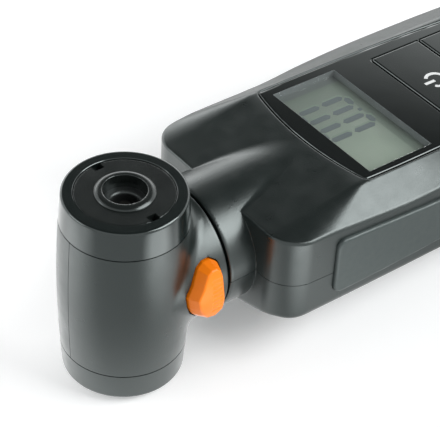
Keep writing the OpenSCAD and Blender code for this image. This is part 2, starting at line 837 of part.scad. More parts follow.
module at_screws() {
  for (i = [0, 1], side = [-1, 1]) translate([screw_x[i], side * screw_y[i], 0]) children();
}

// Solid form of the handle with its inside cavity, before the cuts.
module handle_hollow() {
  difference() {
    union() {
      handle_form(0, 0);
      handle_neck();
    }
    difference() {
      union() {
        handle_form(body_wall, deck_t);
        translate([handle_neck_x + bearing_lip_t, 0, axis_z]) along_x()
          cylinder(r = neck_r - body_wall, h = front_x + 2 * body_wall - handle_neck_x - bearing_lip_t);
      }
      for (x = [handle_neck_x + bearing_lip_t, bearing_end_x - 3])
        translate([x, 0, axis_z]) along_x() cylinder(r = neck_r - 0.5, h = rib_t);
    }
    translate([handle_neck_x + bearing_lip_t, 0, axis_z]) along_x()
      cylinder(r = bearing_r + part_fit, h = bearing_end_x - handle_neck_x);
    translate([handle_neck_x - eps, 0, axis_z]) along_x()
      cylinder(r = bearing_lip_r + part_fit, h = bearing_lip_t + 2 * eps);
    pad_seats();
  }
}

module panel_outline(grow) {
  bow_r = (pow(panel_w / 2, 2) + pow(panel_bow, 2)) / (2 * panel_bow);
  long_r = (pow(panel_l - panel_wide_at, 2) + pow(panel_taper, 2)) / (2 * panel_taper);
  intersection() {
    translate([-grow, -panel_w / 2 - grow]) square([panel_l + 2 * grow, panel_w + 2 * grow]);
    translate([bow_r - grow, 0]) circle(r = bow_r, $fn = fine);
    translate([panel_l - bow_r + grow, 0]) circle(r = bow_r, $fn = fine);
    for (side = [-1, 1])
      translate([panel_wide_at, side * (panel_w / 2 - long_r)]) circle(r = long_r + grow, $fn = fine);
  }
}

module key_outline(n, grow) {
  translate([key_at + n * (key_l + key_split) - grow, 0])
    rounded_rect(key_l + 2 * grow, key_w + 2 * grow, key_corner_r + grow);
}

key_flange = 0.8;
key_flange_t = 0.8;
key_flange_gap = 0.05;

module key_wells(grow) {
  translate([key_at - grow, -key_w / 2 - grow])
    square([2 * key_l + key_split + 2 * grow, key_w + 2 * grow]);
}

module top_shell() color([0.26, 0.28, 0.28]) {
  difference() {
    union() {
      intersection() {
        handle_hollow();
        translate([0, -far, axis_z]) cube([3 * far, 2 * far, far]);
      }
      intersection() {
        translate([0, 0, axis_z]) at_screws() cylinder(r = boss_r, h = far);
        handle_form(body_wall / 2, body_wall / 2);
      }
      intersection() {
        deck_frame() for (x = post_x, side = [-1, 1])
          translate([x, side * post_y, -board_depth]) cylinder(r = post_r, h = board_depth);
        handle_form(body_wall / 2, body_wall / 2);
      }
    }
    deck_frame() {
      translate([0, 0, -panel_t]) linear_extrude(far) panel_outline(panel_gap);
      translate([window_at - lcd_border - slot_fit, -lcd_w / 2 - slot_fit, -board_depth - eps])
        cube([lcd_l + 2 * slot_fit, lcd_w + 2 * slot_fit, board_depth]);
      translate([0, 0, -board_depth]) linear_extrude(board_depth - panel_t + eps)
        key_wells(key_flange + key_gap);
      for (x = post_x, side = [-1, 1]) translate([x, side * post_y, -board_depth - eps])
        cylinder(r = board_screw_r, h = board_screw_l - board_t + screw_play);
    }
    translate([0, 0, axis_z - eps]) at_screws()
      cylinder(r = screw_r, h = screw_tip_z - axis_z + screw_play);
  }
}

module bottom_shell() color([0.26, 0.28, 0.28]) {
  difference() {
    union() {
      intersection() {
        handle_hollow();
        translate([0, -far, 0]) cube([3 * far, 2 * far, axis_z]);
      }
      intersection() {
        union() {
          at_screws() cylinder(r = boss_r, h = axis_z);
          translate([bay_x, 0, 0])
            cylinder(r = door_r + door_fit + bay_wall, h = bay_roof_z + bay_roof_t);
          translate([block_x + cradle_inset, -sensor_block_half, 0])
            cube([sensor_block_l - 2 * cradle_inset, 2 * sensor_block_half, axis_z - sensor_block_drop]);
        }
        handle_form(body_wall / 2, body_wall / 2);
      }
    }
    translate([0, 0, -eps]) at_screws() cylinder(r = screw_r + screw_fit, h = far);
    translate([0, 0, -eps]) at_screws() cylinder(r = screw_head_r + slot_fit, h = screw_seat_z + eps);
    translate([bay_x, 0, 0]) cylinder(r = door_r + door_fit, h = door_top_z + run_fit);
    translate([bay_x, 0, 0]) cylinder(r = cell_r + cell_fit, h = bay_roof_z);
    contact_slots();
  }
}

module body_screws() color([0.6, 0.6, 0.62]) {
  difference() {
    at_screws() {
      translate([0, 0, screw_seat_z]) cylinder(r = screw_r, h = screw_tip_z - screw_seat_z);
      translate([0, 0, screw_seat_z - screw_head_h]) cylinder(r = screw_head_r, h = screw_head_h);
    }
    at_screws() for (turn = [0, 90])
      translate([0, 0, screw_seat_z - screw_head_h])
        rotate(turn) cube([1.3 * cross_l, 1.5 * cross_w, 2 * cross_d], center = true);
  }
}

// ---- air path in the handle ----

module sensor_block() color([0.82, 0.82, 0.8]) {
  difference() {
    union() {
      translate([block_x, -sensor_block_half, axis_z - sensor_block_drop])
        cube([sensor_block_l, 2 * sensor_block_half, 2 * sensor_block_drop]);
      translate([sensor_block_end_x - eps, 0, axis_z]) along_x() cylinder(r = nipple_r, h = nipple_l);
    }
    translate([block_x - eps, 0, axis_z]) along_x() cylinder(r = spigot_r + run_fit, h = socket_l);
    translate([block_x, 0, axis_z]) along_x() cylinder(r = nipple_r / 2, h = far);
  }
}

module air_hose() color([0.85, 0.85, 0.8]) {
  translate([sensor_block_end_x + hose_play, 0, axis_z]) along_x() ring(hose_r, nipple_r, hose_l);
}

module pressure_sensor() color([0.12, 0.12, 0.13]) {
  translate([0, 0, axis_z]) {
    translate([sensor_x - nipple_l, 0, 0]) along_x()
      ring(nipple_r, nipple_r / 2, nipple_l + eps);
    intersection() {
      translate([sensor_x, -sensor_half, -sensor_drop]) cube([sensor_l, 2 * sensor_half, far]);
      translate([0, 0, -axis_z]) deck_frame() translate([-far, -far, -board_depth - board_t - far])
        cube([3 * far, 2 * far, far]);
    }
  }
}

// ---- electronics ----

board_screw_r = 0.8;
board_screw_l = 4;
board_screw_head_r = 1.5;
board_screw_head_h = 1;
chip_side = 10;
chip_t = 1.4;
chip_gap = 3;
chip_edge = 5;

module circuit_board() color([0.1, 0.35, 0.18]) deck_frame() {
  difference() {
    translate([board_x, -board_half, -board_depth - board_t]) cube([board_l, 2 * board_half, board_t]);
    for (x = post_x, side = [-1, 1])
      translate([x, side * post_y, -far / 2]) cylinder(r = board_screw_r + slot_fit, h = far);
  }
}

module board_screws() color([0.6, 0.6, 0.62]) deck_frame() {
  for (x = post_x, side = [-1, 1]) translate([x, side * post_y, 0]) {
    translate([0, 0, -board_depth - board_t]) cylinder(r = board_screw_r, h = board_screw_l);
    translate([0, 0, -board_depth - board_t - board_screw_head_h])
      cylinder(r = board_screw_head_r, h = board_screw_head_h);
  }
}

module controller_chip() color([0.08, 0.08, 0.09]) deck_frame() {
  translate([window_at + lcd_l + chip_gap, chip_edge - board_half, -board_depth - board_t - chip_t])
    cube([chip_side, chip_side, chip_t]);
}

module display_glass() color([0.55, 0.58, 0.5]) deck_frame() {
  translate([window_at - lcd_border, -lcd_w / 2, -panel_t - lcd_t]) cube([lcd_l, lcd_w, lcd_t]);
}

strip_w = 1.8;
strip_in = 0.2;
strip_end = 1;

module contact_strip(at) {
  deck_frame() translate([at, -lcd_w / 2 + strip_end, -board_depth])
    cube([strip_w, lcd_w - 2 * strip_end, board_depth - panel_t - lcd_t]);
}

module contact_strip_front() color([0.75, 0.75, 0.78])
  contact_strip(window_at - lcd_border + strip_in);
module contact_strip_rear() color([0.75, 0.75, 0.78])
  contact_strip(window_at + window_l + lcd_border - strip_w - strip_in);

module display_panel() color([0.04, 0.04, 0.05]) deck_frame() {
  difference() {
    translate([0, 0, -panel_t]) linear_extrude(panel_t) panel_outline(0);
    translate([window_at, -window_w / 2, -far]) cube([window_l, window_w, 2 * far]);
    translate([0, 0, -far]) linear_extrude(2 * far) for (n = [0, 1]) key_outline(n, key_gap);
  }
}

module display_window() color([0.6, 0.65, 0.6, 0.4]) deck_frame() {
  translate([window_at, -window_w / 2, -window_t]) cube([window_l, window_w, window_t]);
}

// ---- keys ----

plunger_r = 1.7;
plunger_h = 0.8;
plunger_sunk = 0.3;
plunger_dip = key_travel + 0.4;
key_stem_r = 2.2;
key_stem_l = 0.8;
switch_h = board_depth - panel_t - key_flange_gap - key_flange_t - key_stem_l - plunger_h;

module key(n) {
  centre = key_at + n * (key_l + key_split) + key_l / 2;
  flange_z = -panel_t - key_flange_gap - key_flange_t;
  inner = n == 0 ? [key_flange, 0] : [0, key_flange];
  deck_frame() {
    translate([0, 0, flange_z + eps]) linear_extrude(key_proud - flange_z - eps) key_outline(n, 0);
    translate([key_at + n * (key_l + key_split) - inner[0], -key_w / 2 - key_flange, flange_z])
      cube([key_l + inner[0] + inner[1], key_w + 2 * key_flange, key_flange_t]);
    translate([centre, 0, -board_depth + switch_h + plunger_h])
      cylinder(r = key_stem_r, h = flange_z + board_depth - switch_h - plunger_h + eps);
  }
}

module power_key() color([0.05, 0.05, 0.06]) key(0);
module unit_key() color([0.05, 0.05, 0.06]) key(1);

module key_switch(n) {
  centre = key_at + n * (key_l + key_split) + key_l / 2;
  deck_frame() difference() {
    translate([centre - switch_side / 2, -switch_side / 2, -board_depth])
      cube([switch_side, switch_side, switch_h]);
    translate([centre, 0, -board_depth + switch_h - plunger_dip])
      cylinder(r = plunger_r + slot_fit, h = far);
  }
}

module plunger(n) {
  centre = key_at + n * (key_l + key_split) + key_l / 2;
  deck_frame() translate([centre, 0, -board_depth + switch_h - plunger_sunk])
    cylinder(r = plunger_r, h = plunger_h + plunger_sunk);
}

module power_switch() color([0.15, 0.15, 0.16]) key_switch(0);
module unit_switch() color([0.15, 0.15, 0.16]) key_switch(1);
module power_plunger() color([0.1, 0.1, 0.1]) plunger(0);
module unit_plunger() color([0.1, 0.1, 0.1]) plunger(1);

// ---- battery bay ----

seal_wire_r = 0.7;
seal_half = 0.4;
seal_groove_half = 0.5;
seal_down = 0.6;
slot_d = 1;
cell_rim = 0.8;
cell_rim_t = 0.5;

module battery_door() color([0.22, 0.24, 0.24]) {
  translate([bay_x, 0, door_face_z]) difference() {
    cylinder(r = door_r, h = door_t);
    translate([-slot_l / 2, -slot_w / 2, -eps]) cube([slot_l, slot_w, slot_d]);
    translate([0, 0, door_t - seal_down - seal_groove_half])
      ring(door_r + 1, door_r - seal_wire_r, 2 * seal_groove_half);
  }
}

module door_seal() color([0.06, 0.06, 0.06]) {
  translate([bay_x, 0, door_top_z - seal_down]) rotate_extrude() intersection() {
    translate([door_r, 0]) circle(r = seal_wire_r, $fn = 32);
    translate([door_r - seal_wire_r, -seal_half]) square([seal_wire_r + door_fit / 2, 2 * seal_half]);
  }
}

module coin_cell() color([0.78, 0.78, 0.8]) {
  translate([bay_x, 0, cell_z]) {
    cylinder(r = cell_r - cell_rim, h = cell_t);
    cylinder(r = cell_r, h = cell_t - cell_rim_t);
  }
}

leaf_t = 0.3;
leaf_w = 3;
leaf_fit = 0.2;
minus_x = 5;
nib_l = 0.5;
nib_h = 1;
plus_x = cell_r + nib_l;

// Height of the circuit board's lower face above x, for a leg that reaches it.
function board_under(x) = deck_z - (x - deck_x) * tan(deck_fall) - (board_depth + board_t) / cos(deck_fall);

module contact_minus() color([0.8, 0.8, 0.78]) {
  leg_z = cell_z + cell_t;
  translate([bay_x - minus_x, -leaf_w / 2, leg_z]) cube([2 * minus_x, leaf_w, leaf_t]);
  translate([bay_x - minus_x, -leaf_w / 2, leg_z])
    cube([leaf_t, leaf_w, board_under(bay_x - minus_x + leaf_t) - leg_z]);
}

module contact_plus() color([0.8, 0.8, 0.78]) {
  translate([bay_x - plus_x, -leaf_w / 2, cell_z])
    cube([leaf_t, leaf_w, board_under(bay_x - plus_x + leaf_t) - cell_z]);
  translate([bay_x - plus_x, -leaf_w / 2, cell_z + (cell_t - nib_h) / 2]) cube([nib_l, leaf_w, nib_h]);
}

module contact_slots() {
  translate([bay_x - minus_x - leaf_fit, -leaf_w / 2 - leaf_fit, cell_z + cell_t / 2])
    cube([leaf_t + 2 * leaf_fit, leaf_w + 2 * leaf_fit, far]);
  translate([bay_x - plus_x - leaf_fit, -leaf_w / 2 - leaf_fit, cell_z])
    cube([nib_l + leaf_t + leaf_fit, leaf_w + 2 * leaf_fit, far]);
}

top_cap();
bottom_cap();
top_ring();
bottom_ring();
top_seal();
bottom_seal();
head_shell_near();
head_shell_far();
head_screws();
air_block();
top_core_pin();
bottom_core_pin();
swivel_spigot();
spigot_o_rings();
spigot_clip();
swivel_washer();
deflate_button();
deflate_stem();
deflate_seal();
deflate_spring();
top_shell();
bottom_shell();
body_screws();
swivel_bearing();
sensor_block();
air_hose();
pressure_sensor();
circuit_board();
board_screws();
controller_chip();
display_panel();
display_window();
display_glass();
contact_strip_front();
contact_strip_rear();
power_switch();
unit_switch();
power_key();
unit_key();
power_plunger();
unit_plunger();
grip_near();
grip_far();
battery_door();
door_seal();
coin_cell();
contact_plus();
contact_minus();
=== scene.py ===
import json
import math

import bpy
import numpy as np
from mathutils import Matrix


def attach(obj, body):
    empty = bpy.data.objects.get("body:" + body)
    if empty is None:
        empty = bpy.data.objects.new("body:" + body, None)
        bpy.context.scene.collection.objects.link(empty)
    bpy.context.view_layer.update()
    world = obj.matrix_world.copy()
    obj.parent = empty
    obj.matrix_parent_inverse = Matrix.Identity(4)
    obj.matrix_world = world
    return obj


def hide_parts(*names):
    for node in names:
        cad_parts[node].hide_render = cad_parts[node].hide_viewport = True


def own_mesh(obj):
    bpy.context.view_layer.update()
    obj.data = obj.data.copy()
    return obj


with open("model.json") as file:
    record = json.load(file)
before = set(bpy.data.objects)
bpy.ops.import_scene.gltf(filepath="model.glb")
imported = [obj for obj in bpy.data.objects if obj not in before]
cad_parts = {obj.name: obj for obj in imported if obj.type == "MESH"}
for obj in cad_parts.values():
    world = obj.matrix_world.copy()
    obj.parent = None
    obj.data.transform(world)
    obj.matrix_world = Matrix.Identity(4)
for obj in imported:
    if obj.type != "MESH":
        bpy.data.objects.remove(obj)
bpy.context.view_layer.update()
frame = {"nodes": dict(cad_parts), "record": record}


def arc_radius(half_chord, rise):
    """Radius of the arc that rises that much over that half chord: (chord^2 + rise^2) / 2 rise."""
    return (half_chord**2 + rise**2) / (2 * rise)


# ---- sizes of the gauge, in millimetres ----

BARREL_H, RIM_R, BELLY_R, CAP_H = 42.5, 12.0, 12.9, 6.3
AXIS_Z = BARREL_H / 2
BARREL_ARC = arc_radius(BARREL_H / 2, BELLY_R - RIM_R)
CAP_HOLE_R, SKIRT_IN_R, SKIRT_R, SKIRT_H = 8.4, 9.25, 10.4, 2.0
RING_R, RING_T, NOTCH_W, NOTCH_L, NOTCH_D, HOLE_STEP = 9.7, 2.2, 2.1, 1.7, 1.6, 0.6
BEAD_H, BEAD_R, CAR_VALVE_R, SLIM_VALVE_R = 0.55, 5.9, 4.2, 3.25
SEAL_DEPTH, SEAL_T, RING_SUNK = 2.35, 3.0, 0.15
NECK_R, NECK_ROOT_R, NECK_END, NECK_GAP = 13.4, 12.6, 15.1, 0.5
NECK_START = NECK_END + NECK_GAP
BUTTON_X, BUTTON_TILT, BUTTON_PROUD, BUTTON_LEAN = 9.0, math.radians(10.5), 2.2, 0.95
BUTTON = np.array([
    (1.4, 4.75), (2.8, 4.65), (3.8, 3.85), (4.15, 2.3), (4.2, -1.5), (4.2, -4.5), (3.9, -7.2), (2.2, -8.6),
    (0.1, -8.1), (-1.7, -6.4), (-2.9, -4.3), (-3.65, -1.7), (-2.35, 1.05), (-1.3, 2.7), (0.1, 4.2),
])
FRONT_X, BODY_L, BODY_W, WIDE_AT, SIDE_BOW = 21.7, 98.0, 47.6, 56.0, 2.0
FRONT_CORNER, TAIL_CORNER, TAIL_BOW = 6.5, 6.4, 70.0
TAIL_X, WIDE_X = FRONT_X + BODY_L, FRONT_X + WIDE_AT
SIDE_ARC = arc_radius(WIDE_AT, SIDE_BOW)
BODY_WALL, DECK_T = 2.2, 3.0
BROW_H, DECK_H, SLOPE_L = 11.05, 14.05, 21.6
DECK_X, DECK_Z, DECK_FALL = FRONT_X + SLOPE_L, AXIS_Z + DECK_H, math.radians(2.2)
DECK_HALF, BEVEL_FALL, SHOULDER_LIFT, SHOULDER_X, SHOULDER_RUN = 17.2, 0.72, 0.27, 50.0, 14.0
CHIN_D, CHIN_RISE, CHIN_HALF = 11.75, 0.3, 8.4
BELLY_D, BELLY_RISE, BELLY_HALF = 14.65, 0.75, 14.0
PANEL_L, PANEL_W, PANEL_T, PANEL_BOW = 64.6, 33.8, 1.6, 2.2
PANEL_WIDE, PANEL_TAPER = 17.0, 2.0
PANEL_END_R, PANEL_LONG_R = arc_radius(PANEL_W / 2, PANEL_BOW), arc_radius(PANEL_L - PANEL_WIDE, PANEL_TAPER)
WINDOW_AT, WINDOW_L, WINDOW_W, WINDOW_Y, WINDOW_T = 4.25, 16.5, 29.9, -0.4, 1.0
KEY_AT, KEY_L, KEY_W, KEY_SPLIT, KEY_CORNER, KEY_PROUD, KEY_GAP = 29.8, 13.1, 25.9, 0.5, 0.5, 0.35, 0.2
KEY_FOOT, KEY_FOOT_LOW, KEY_FOOT_TOP, KEY_SIDE_LOW, KEY_STEM_R, KEY_STEM_LOW = 0.8, -2.45, -1.66, -1.7, 2.2, -3.24
PAD_X, PAD_L, PAD_FRONT_H, PAD_REAR_H, PAD_CORNER, PAD_PROUD, PAD_SEAT = 33.7, 65.0, 13.6, 7.0, 2.0, 0.8, 1.0
PAD_Z = AXIS_Z + 1.4
BAY_X, DOOR_R, DOOR_T, CELL_R, CELL_T = 87.7, 12.0, 2.4, 10.0, 3.2
BELLY_Z = AXIS_Z - BELLY_D
SCREWS = ((33.2, 15.0), (109.7, 14.0))
SEAM = 0.11
SPRING_LOW, SPRING_HIGH, SPRING_R, WIRE_R, PRESS = 7.4, 10.8, 2.15, 0.22, 1.2
HEAD_WALL, NECK_WALL, SPIGOT_HOLE_R, BUTTON_GAP, BUTTON_WELL, BUTTON_FOOT = 1.5, 2.0, 4.2, 0.28, 8.0, 10.8
BOSS_UP, BOSS_R, BOSS_REACH = 9.1, 2.1, 7.4
SCREW_WELL_R, SCREW_WELL_FROM, SCREW_PILOT_R, SCREW_PILOT_FROM = 1.7, 6.2, 0.9, 5.0
THROAT_R, THROAT_WALL, THROAT_END, BEARING_R = 11.2, 1.8, 30.0, 5.65
SEAT_DEPTH, PANEL_ROOM, KEY_ROOM, LCD_AT, LCD_HALF, LCD_ROOM = 7.0, 1.0, 1.0, 4.6, 14.85, 1.7
POST_R, POST_HOLE_R, POST_HOLE_DROP = 3.2, 2.4, 6.5
BAY_WALL, DOOR_SUNK, DOOR_PLAY, CELL_PLAY, CELL_ROOM, BAY_ROOF = 1.9, 0.2, 0.1, 0.3, 0.8, 1.0
PAD_PLAY, RING_PLAY, SEAL_LIP_R, SEAL_R = 0.07, 0.1, 2.6, 5.0
RIM_OUT, RIM_TURN, RIM_COUNT, INK_T = 0.2, 0.45, 260, 0.03


# ---- distances: below zero inside a form, above zero outside, in millimetres ----

def meld(a, b, k):
    """The lesser of two distances; where they differ by less than k, it is lower by (k - difference)^2 / 4k."""
    h = np.maximum(k - np.abs(a - b), 0)
    return np.minimum(a, b) - h * h / (4 * k)


def meet(a, b, k):
    """The greater of two distances, its corner eased over the width k."""
    return -meld(-a, -b, k)


def corner(a, b, r):
    """The greater of two distances that cross squarely, its corner turned to the radius r."""
    return np.minimum(np.maximum(a, b), -r) + np.hypot(np.maximum(a + r, 0), np.maximum(b + r, 0))


def across(p):
    """x, y and height of points, and their distance from the swivel axis."""
    x, y, z = p[..., 0], p[..., 1], p[..., 2]
    return x, y, z, np.hypot(y, z - AXIS_Z)


def rounded_box(u, v, half_u, half_v, r):
    """Distance from a rectangle of those half sides with corners of radius r."""
    a, b = np.abs(u) - half_u + r, np.abs(v) - half_v + r
    return np.minimum(np.maximum(a, b), 0) + np.hypot(np.maximum(a, 0), np.maximum(b, 0)) - r


def from_outline(u, v, outline):
    """Distance from a closed polygon: the least to its edges, negative where a ray crosses an odd number of them."""
    best, inside = np.full(u.shape, 1e9), np.zeros(u.shape, bool)
    for (ax, ay), (bx, by) in zip(outline, np.roll(outline, -1, axis=0)):
        ex, ey = bx - ax, by - ay
        t = np.clip(((u - ax) * ex + (v - ay) * ey) / (ex * ex + ey * ey), 0, 1)
        best = np.minimum(best, np.hypot(u - ax - t * ex, v - ay - t * ey))
        crossing = (v < ay) != (v < by)
        inside ^= crossing & (u < ax + ex * (v - ay) / (ey if ey else 1e-12))
    return np.where(inside, -best, best)


def barrel_r(z):
    """Radius of the barrel: a shallow arc from rim to rim."""
    return BELLY_R - BARREL_ARC + np.sqrt(BARREL_ARC**2 - (z - AXIS_Z) ** 2)


def head_form(p):
    """Barrel and neck as one form. Their corner is filled least where the two surfaces run the same way."""
    x, y, z, around = across(p)
    rho = np.hypot(x, y)
    neck = around - NECK_ROOT_R - (NECK_R - NECK_ROOT_R) * x / NECK_END
    neck = np.maximum(meet(neck, x - NECK_END, 0.5), -x)
    facing = y * y / np.maximum(rho * around, 1e-6)
    near_cap = np.clip((AXIS_Z - CAP_H - np.abs(z - AXIS_Z)) / 3, 0.15, 1)
    return meld(rho - barrel_r(z), neck, 0.1 + 3.4 * (1 - facing) * near_cap)


def button_place(p):
    """Along the handle, up the neck and out of the neck, from the button's centre."""
    x, y, z, _ = across(p)
    c, s = math.cos(BUTTON_TILT), math.sin(BUTTON_TILT)
    return x - BUTTON_X, y * s + (z - AXIS_Z) * c, (z - AXIS_Z) * s - y * c


def button_side(a, b):
    """Distance from the button's outline: its corners drawn in by 1 mm, and the shape grown by 0.9 mm."""
    size = np.hypot(*BUTTON.T)[:, None]
    return from_outline(a, b, BUTTON * (1 - 1 / size)) - 0.9


def head_shell(side):
    """Half of the hollow head: its form less the barrel's bore, the neck's bore, the spigot's hole and the button's
    opening, plus the screws' bosses, cut at the upright seam."""
    def distance(p):
        x, y, z, around = across(p)
        a, b, c = button_place(p)
        bore = np.hypot(x, y) - RIM_R + HEAD_WALL
        neck_bore = np.maximum(np.maximum(around - NECK_R, x - NECK_END) + NECK_WALL, -x)
        shell = np.maximum(head_form(p), -np.minimum(bore, neck_bore))
        shell = np.maximum(shell, np.abs(z - AXIS_Z) - AXIS_Z + CAP_H + SEAM)
        shell = np.maximum(shell, SEAM / 2 - side * y)
        shell = np.maximum(shell, -np.maximum(around - SPIGOT_HOLE_R, -x))
        shell = np.maximum(shell, -np.maximum(button_side(a, b) - BUTTON_GAP, BUTTON_WELL - c))
        for up in (-BOSS_UP, BOSS_UP):
            hole = np.hypot(x - BUTTON_X, z - AXIS_Z - up)
            boss = np.maximum(np.maximum(hole - BOSS_R, np.abs(y) - BOSS_REACH), SEAM / 2 - side * y)
            shell = np.minimum(shell, boss)
            shell = np.maximum(shell, -np.maximum(hole - SCREW_WELL_R, SCREW_WELL_FROM - y))
            shell = np.maximum(shell, -np.maximum(hole - SCREW_PILOT_R, -SCREW_PILOT_FROM - y))
        return shell
    return distance


def deflate_button(p):
    """Button with sides that lean in and a face that follows the neck, its grip ribs being a row of shallow waves."""
    _, _, _, around = across(p)
    a, b, c = button_place(p)
    ribs = 0.12 * (1 - np.cos(2 * math.pi * (b + 2.0) / 1.0)) / 2
    reach = np.hypot(np.maximum(np.abs(a - 1.7) - 0.7, 0), np.maximum(np.abs(b + 2.0) - 3.5, 0))
    face = around - NECK_R - BUTTON_PROUD + ribs * np.clip(1.5 - reach / 0.35, 0, 1)
    lean = BUTTON_LEAN * np.maximum(around - NECK_R, 0) / BUTTON_PROUD
    return np.maximum(meet((button_side(a, b) + lean) * 0.92, face, 0.35), BUTTON_FOOT - c)


def plan_distance(x, y):
    """Distance from the handle's plan: bowed sides, flat front, bowed tail, turned corners."""
    side = np.hypot(x - WIDE_X, np.abs(y) + SIDE_ARC - BODY_W / 2) - SIDE_ARC
    tail = np.hypot(x - TAIL_X + TAIL_BOW, y) - TAIL_BOW
    return corner(corner(side, FRONT_X - x, FRONT_CORNER), tail, TAIL_CORNER)


def deck_place(p):
    """Along the deck from its front end, and out of it."""
    x, z = p[..., 0] - DECK_X, p[..., 2] - DECK_Z
    c, s = math.cos(DECK_FALL), math.sin(DECK_FALL)
    return x * c - z * s, x * s + z * c


def tilted(rise, run, steep):
    """Distance from a plane that climbs by steep for each unit of run."""
    return (rise - steep * run) / math.hypot(1, steep)


def handle_block(p):
    """The handle without its neck: plan, deck, side bevels, front slope, chin and belly, with eased edges. Behind the
    head the bevels fall by 0.72 and, hinged on the deck's edge, flatten towards the tail as 1 - exp(-(run)^1.5)."""
    x, y, z, _ = across(p)
    _, w = deck_place(p)
    steep = (DECK_H - BROW_H) / SLOPE_L
    slope = tilted(z - AXIS_Z - BROW_H, x - FRONT_X, steep)
    flatter = 1 - np.exp(-(np.maximum(x - SHOULDER_X, 0) / SHOULDER_RUN) ** 1.5)
    fall = BEVEL_FALL - SHOULDER_LIFT * flatter
    bevel = (w + fall * (np.abs(y) - DECK_HALF)) / np.hypot(1, fall)
    crease = 0.5 + 3.2 * np.clip((DECK_X - x) / 20, 0, 1)
    upper = meet(meet(slope, bevel, crease), w, 0.3)
    chin = meet(AXIS_Z - CHIN_D - z, tilted(AXIS_Z - CHIN_D - z, np.abs(y) - CHIN_HALF, -CHIN_RISE), 0.6)
    belly = meet(BELLY_Z - z, tilted(BELLY_Z - z, np.abs(y) - BELLY_HALF, -BELLY_RISE), 1.5)
    ramp = tilted(AXIS_Z - CHIN_D + 3.6 - z, x - FRONT_X, (3.6 + BELLY_D - CHIN_D) / (SLOPE_L - 2))
    kick = tilted(BELLY_Z - z, x - TAIL_X + 8, -0.5)
    pod = meet(meet(belly, ramp, 1.5), kick, 1.5)
    form = corner(plan_distance(x, y), upper, 0.5)
    return meet(form, meld(chin, pod, 1.2), 1.1)


def handle_form(p):
    """The handle with the fixed neck that fades out on its front slope."""
    x, _, _, around = across(p)
    neck = np.maximum(meet(around - NECK_R, NECK_START - x, 0.5), x - DECK_X + 1)
    return meld(handle_block(p), neck, 0.12 + 0.35 * np.clip((x - FRONT_X) / 6, 0, 1))


def panel_side(u, y, grow, turned=0.5):
    """Distance from the panel's outline: bowed ends and long sides, with turned corners."""
    ends = np.hypot(np.abs(u - PANEL_L / 2) + PANEL_END_R - PANEL_L / 2, y) - PANEL_END_R
    sides = np.hypot(u - PANEL_WIDE, np.abs(y) + PANEL_LONG_R - PANEL_W / 2) - PANEL_LONG_R
    return corner(ends, sides, turned) - grow


def panel_plate(p):
    """Panel in the deck's own frame: rounded upper edge, window opening and the two keys' openings."""
    u, y, w = p[..., 0], p[..., 1], p[..., 2]
    plate = np.maximum(corner(panel_side(u, y, 0), w, 0.42), -w - PANEL_T)
    window = rounded_box(u - WINDOW_AT - WINDOW_L / 2, y - WINDOW_Y, WINDOW_L / 2, WINDOW_W / 2, 0.15)
    plate = np.maximum(plate, -window)
    for n in (0, 1):
        middle = KEY_AT + n * (KEY_L + KEY_SPLIT) + KEY_L / 2
        key = rounded_box(u - middle, y, KEY_L / 2 + KEY_GAP, KEY_W / 2 + KEY_GAP, KEY_CORNER + KEY_GAP)
        plate = meet(plate, -key, 0.25)
    return plate


def pad_side(x, z, grow):
    """Distance from a grip pad's outline, lower at its rear end."""
    box = rounded_box(x - PAD_X - PAD_L / 2, z - PAD_Z, PAD_L / 2, PAD_FRONT_H / 2, PAD_CORNER)
    fall = (PAD_FRONT_H - PAD_REAR_H) / 2 / (PAD_L - PAD_CORNER)
    edge = tilted(np.abs(z - PAD_Z) - PAD_FRONT_H / 2, x - PAD_X - PAD_CORNER, -fall)
    return meet(box, edge, 0.4) - grow


def handle_shell(top):
    """Upper or lower half of the hollow handle: its form less the hollow, the neck's throat and the seats of what it
    holds, plus the screws' posts and the battery bay's wall, cut at the level seam."""
    def distance(p):
        x, y, z, around = across(p)
        u, w = deck_place(p)
        block = handle_block(p)
        hollow = np.maximum(block + BODY_WALL, w + DECK_T)
        throat = np.maximum(np.maximum(around - THROAT_R, NECK_START + THROAT_WALL - x), x - THROAT_END)
        shell = np.maximum(handle_form(p), -np.minimum(hollow, throat))
        shell = np.maximum(shell, -np.maximum(around - BEARING_R, x - THROAT_END))
        plan = plan_distance(x, y)
        if top:
            well = np.maximum(panel_side(u, y, PANEL_ROOM), -w - PANEL_T)
            lcd = rounded_box(u - LCD_AT - WINDOW_L / 2, y, WINDOW_L / 2 + LCD_ROOM, LCD_HALF + LCD_ROOM, 0.2)
            half = KEY_L + KEY_SPLIT / 2
            keys = rounded_box(u - KEY_AT - half, y, half + KEY_ROOM, KEY_W / 2 + KEY_ROOM, 0.2)
            shell = np.maximum(shell, -np.minimum(well, np.maximum(np.minimum(lcd, keys), -w - SEAT_DEPTH)))
            part = AXIS_Z + SEAM / 2 - z
        else:
            inner = block + BODY_WALL / 2
            for sx, sy in SCREWS:
                post = np.hypot(x - sx, np.abs(y) - sy)
                shell = np.minimum(shell, np.maximum(post - POST_R, inner))
                shell = np.maximum(shell, -np.maximum(post - POST_HOLE_R, z - AXIS_Z + POST_HOLE_DROP))
            bay = np.hypot(x - BAY_X, y)
            door_top = BELLY_Z + DOOR_SUNK + DOOR_T
            roof = door_top + CELL_T + CELL_ROOM
            shell = np.minimum(shell, np.maximum(np.maximum(bay - DOOR_R - BAY_WALL, inner), z - roof - BAY_ROOF))
            shell = np.maximum(shell, -np.maximum(bay - DOOR_R - DOOR_PLAY, z - door_top))
            shell = np.maximum(shell, -np.maximum(bay - CELL_R - CELL_PLAY, z - roof))
            part = z - AXIS_Z + SEAM / 2
        shell = np.maximum(shell, -np.maximum(pad_side(x, z, PAD_PLAY), -plan - PAD_SEAT))
        return np.maximum(shell, part)
    return distance


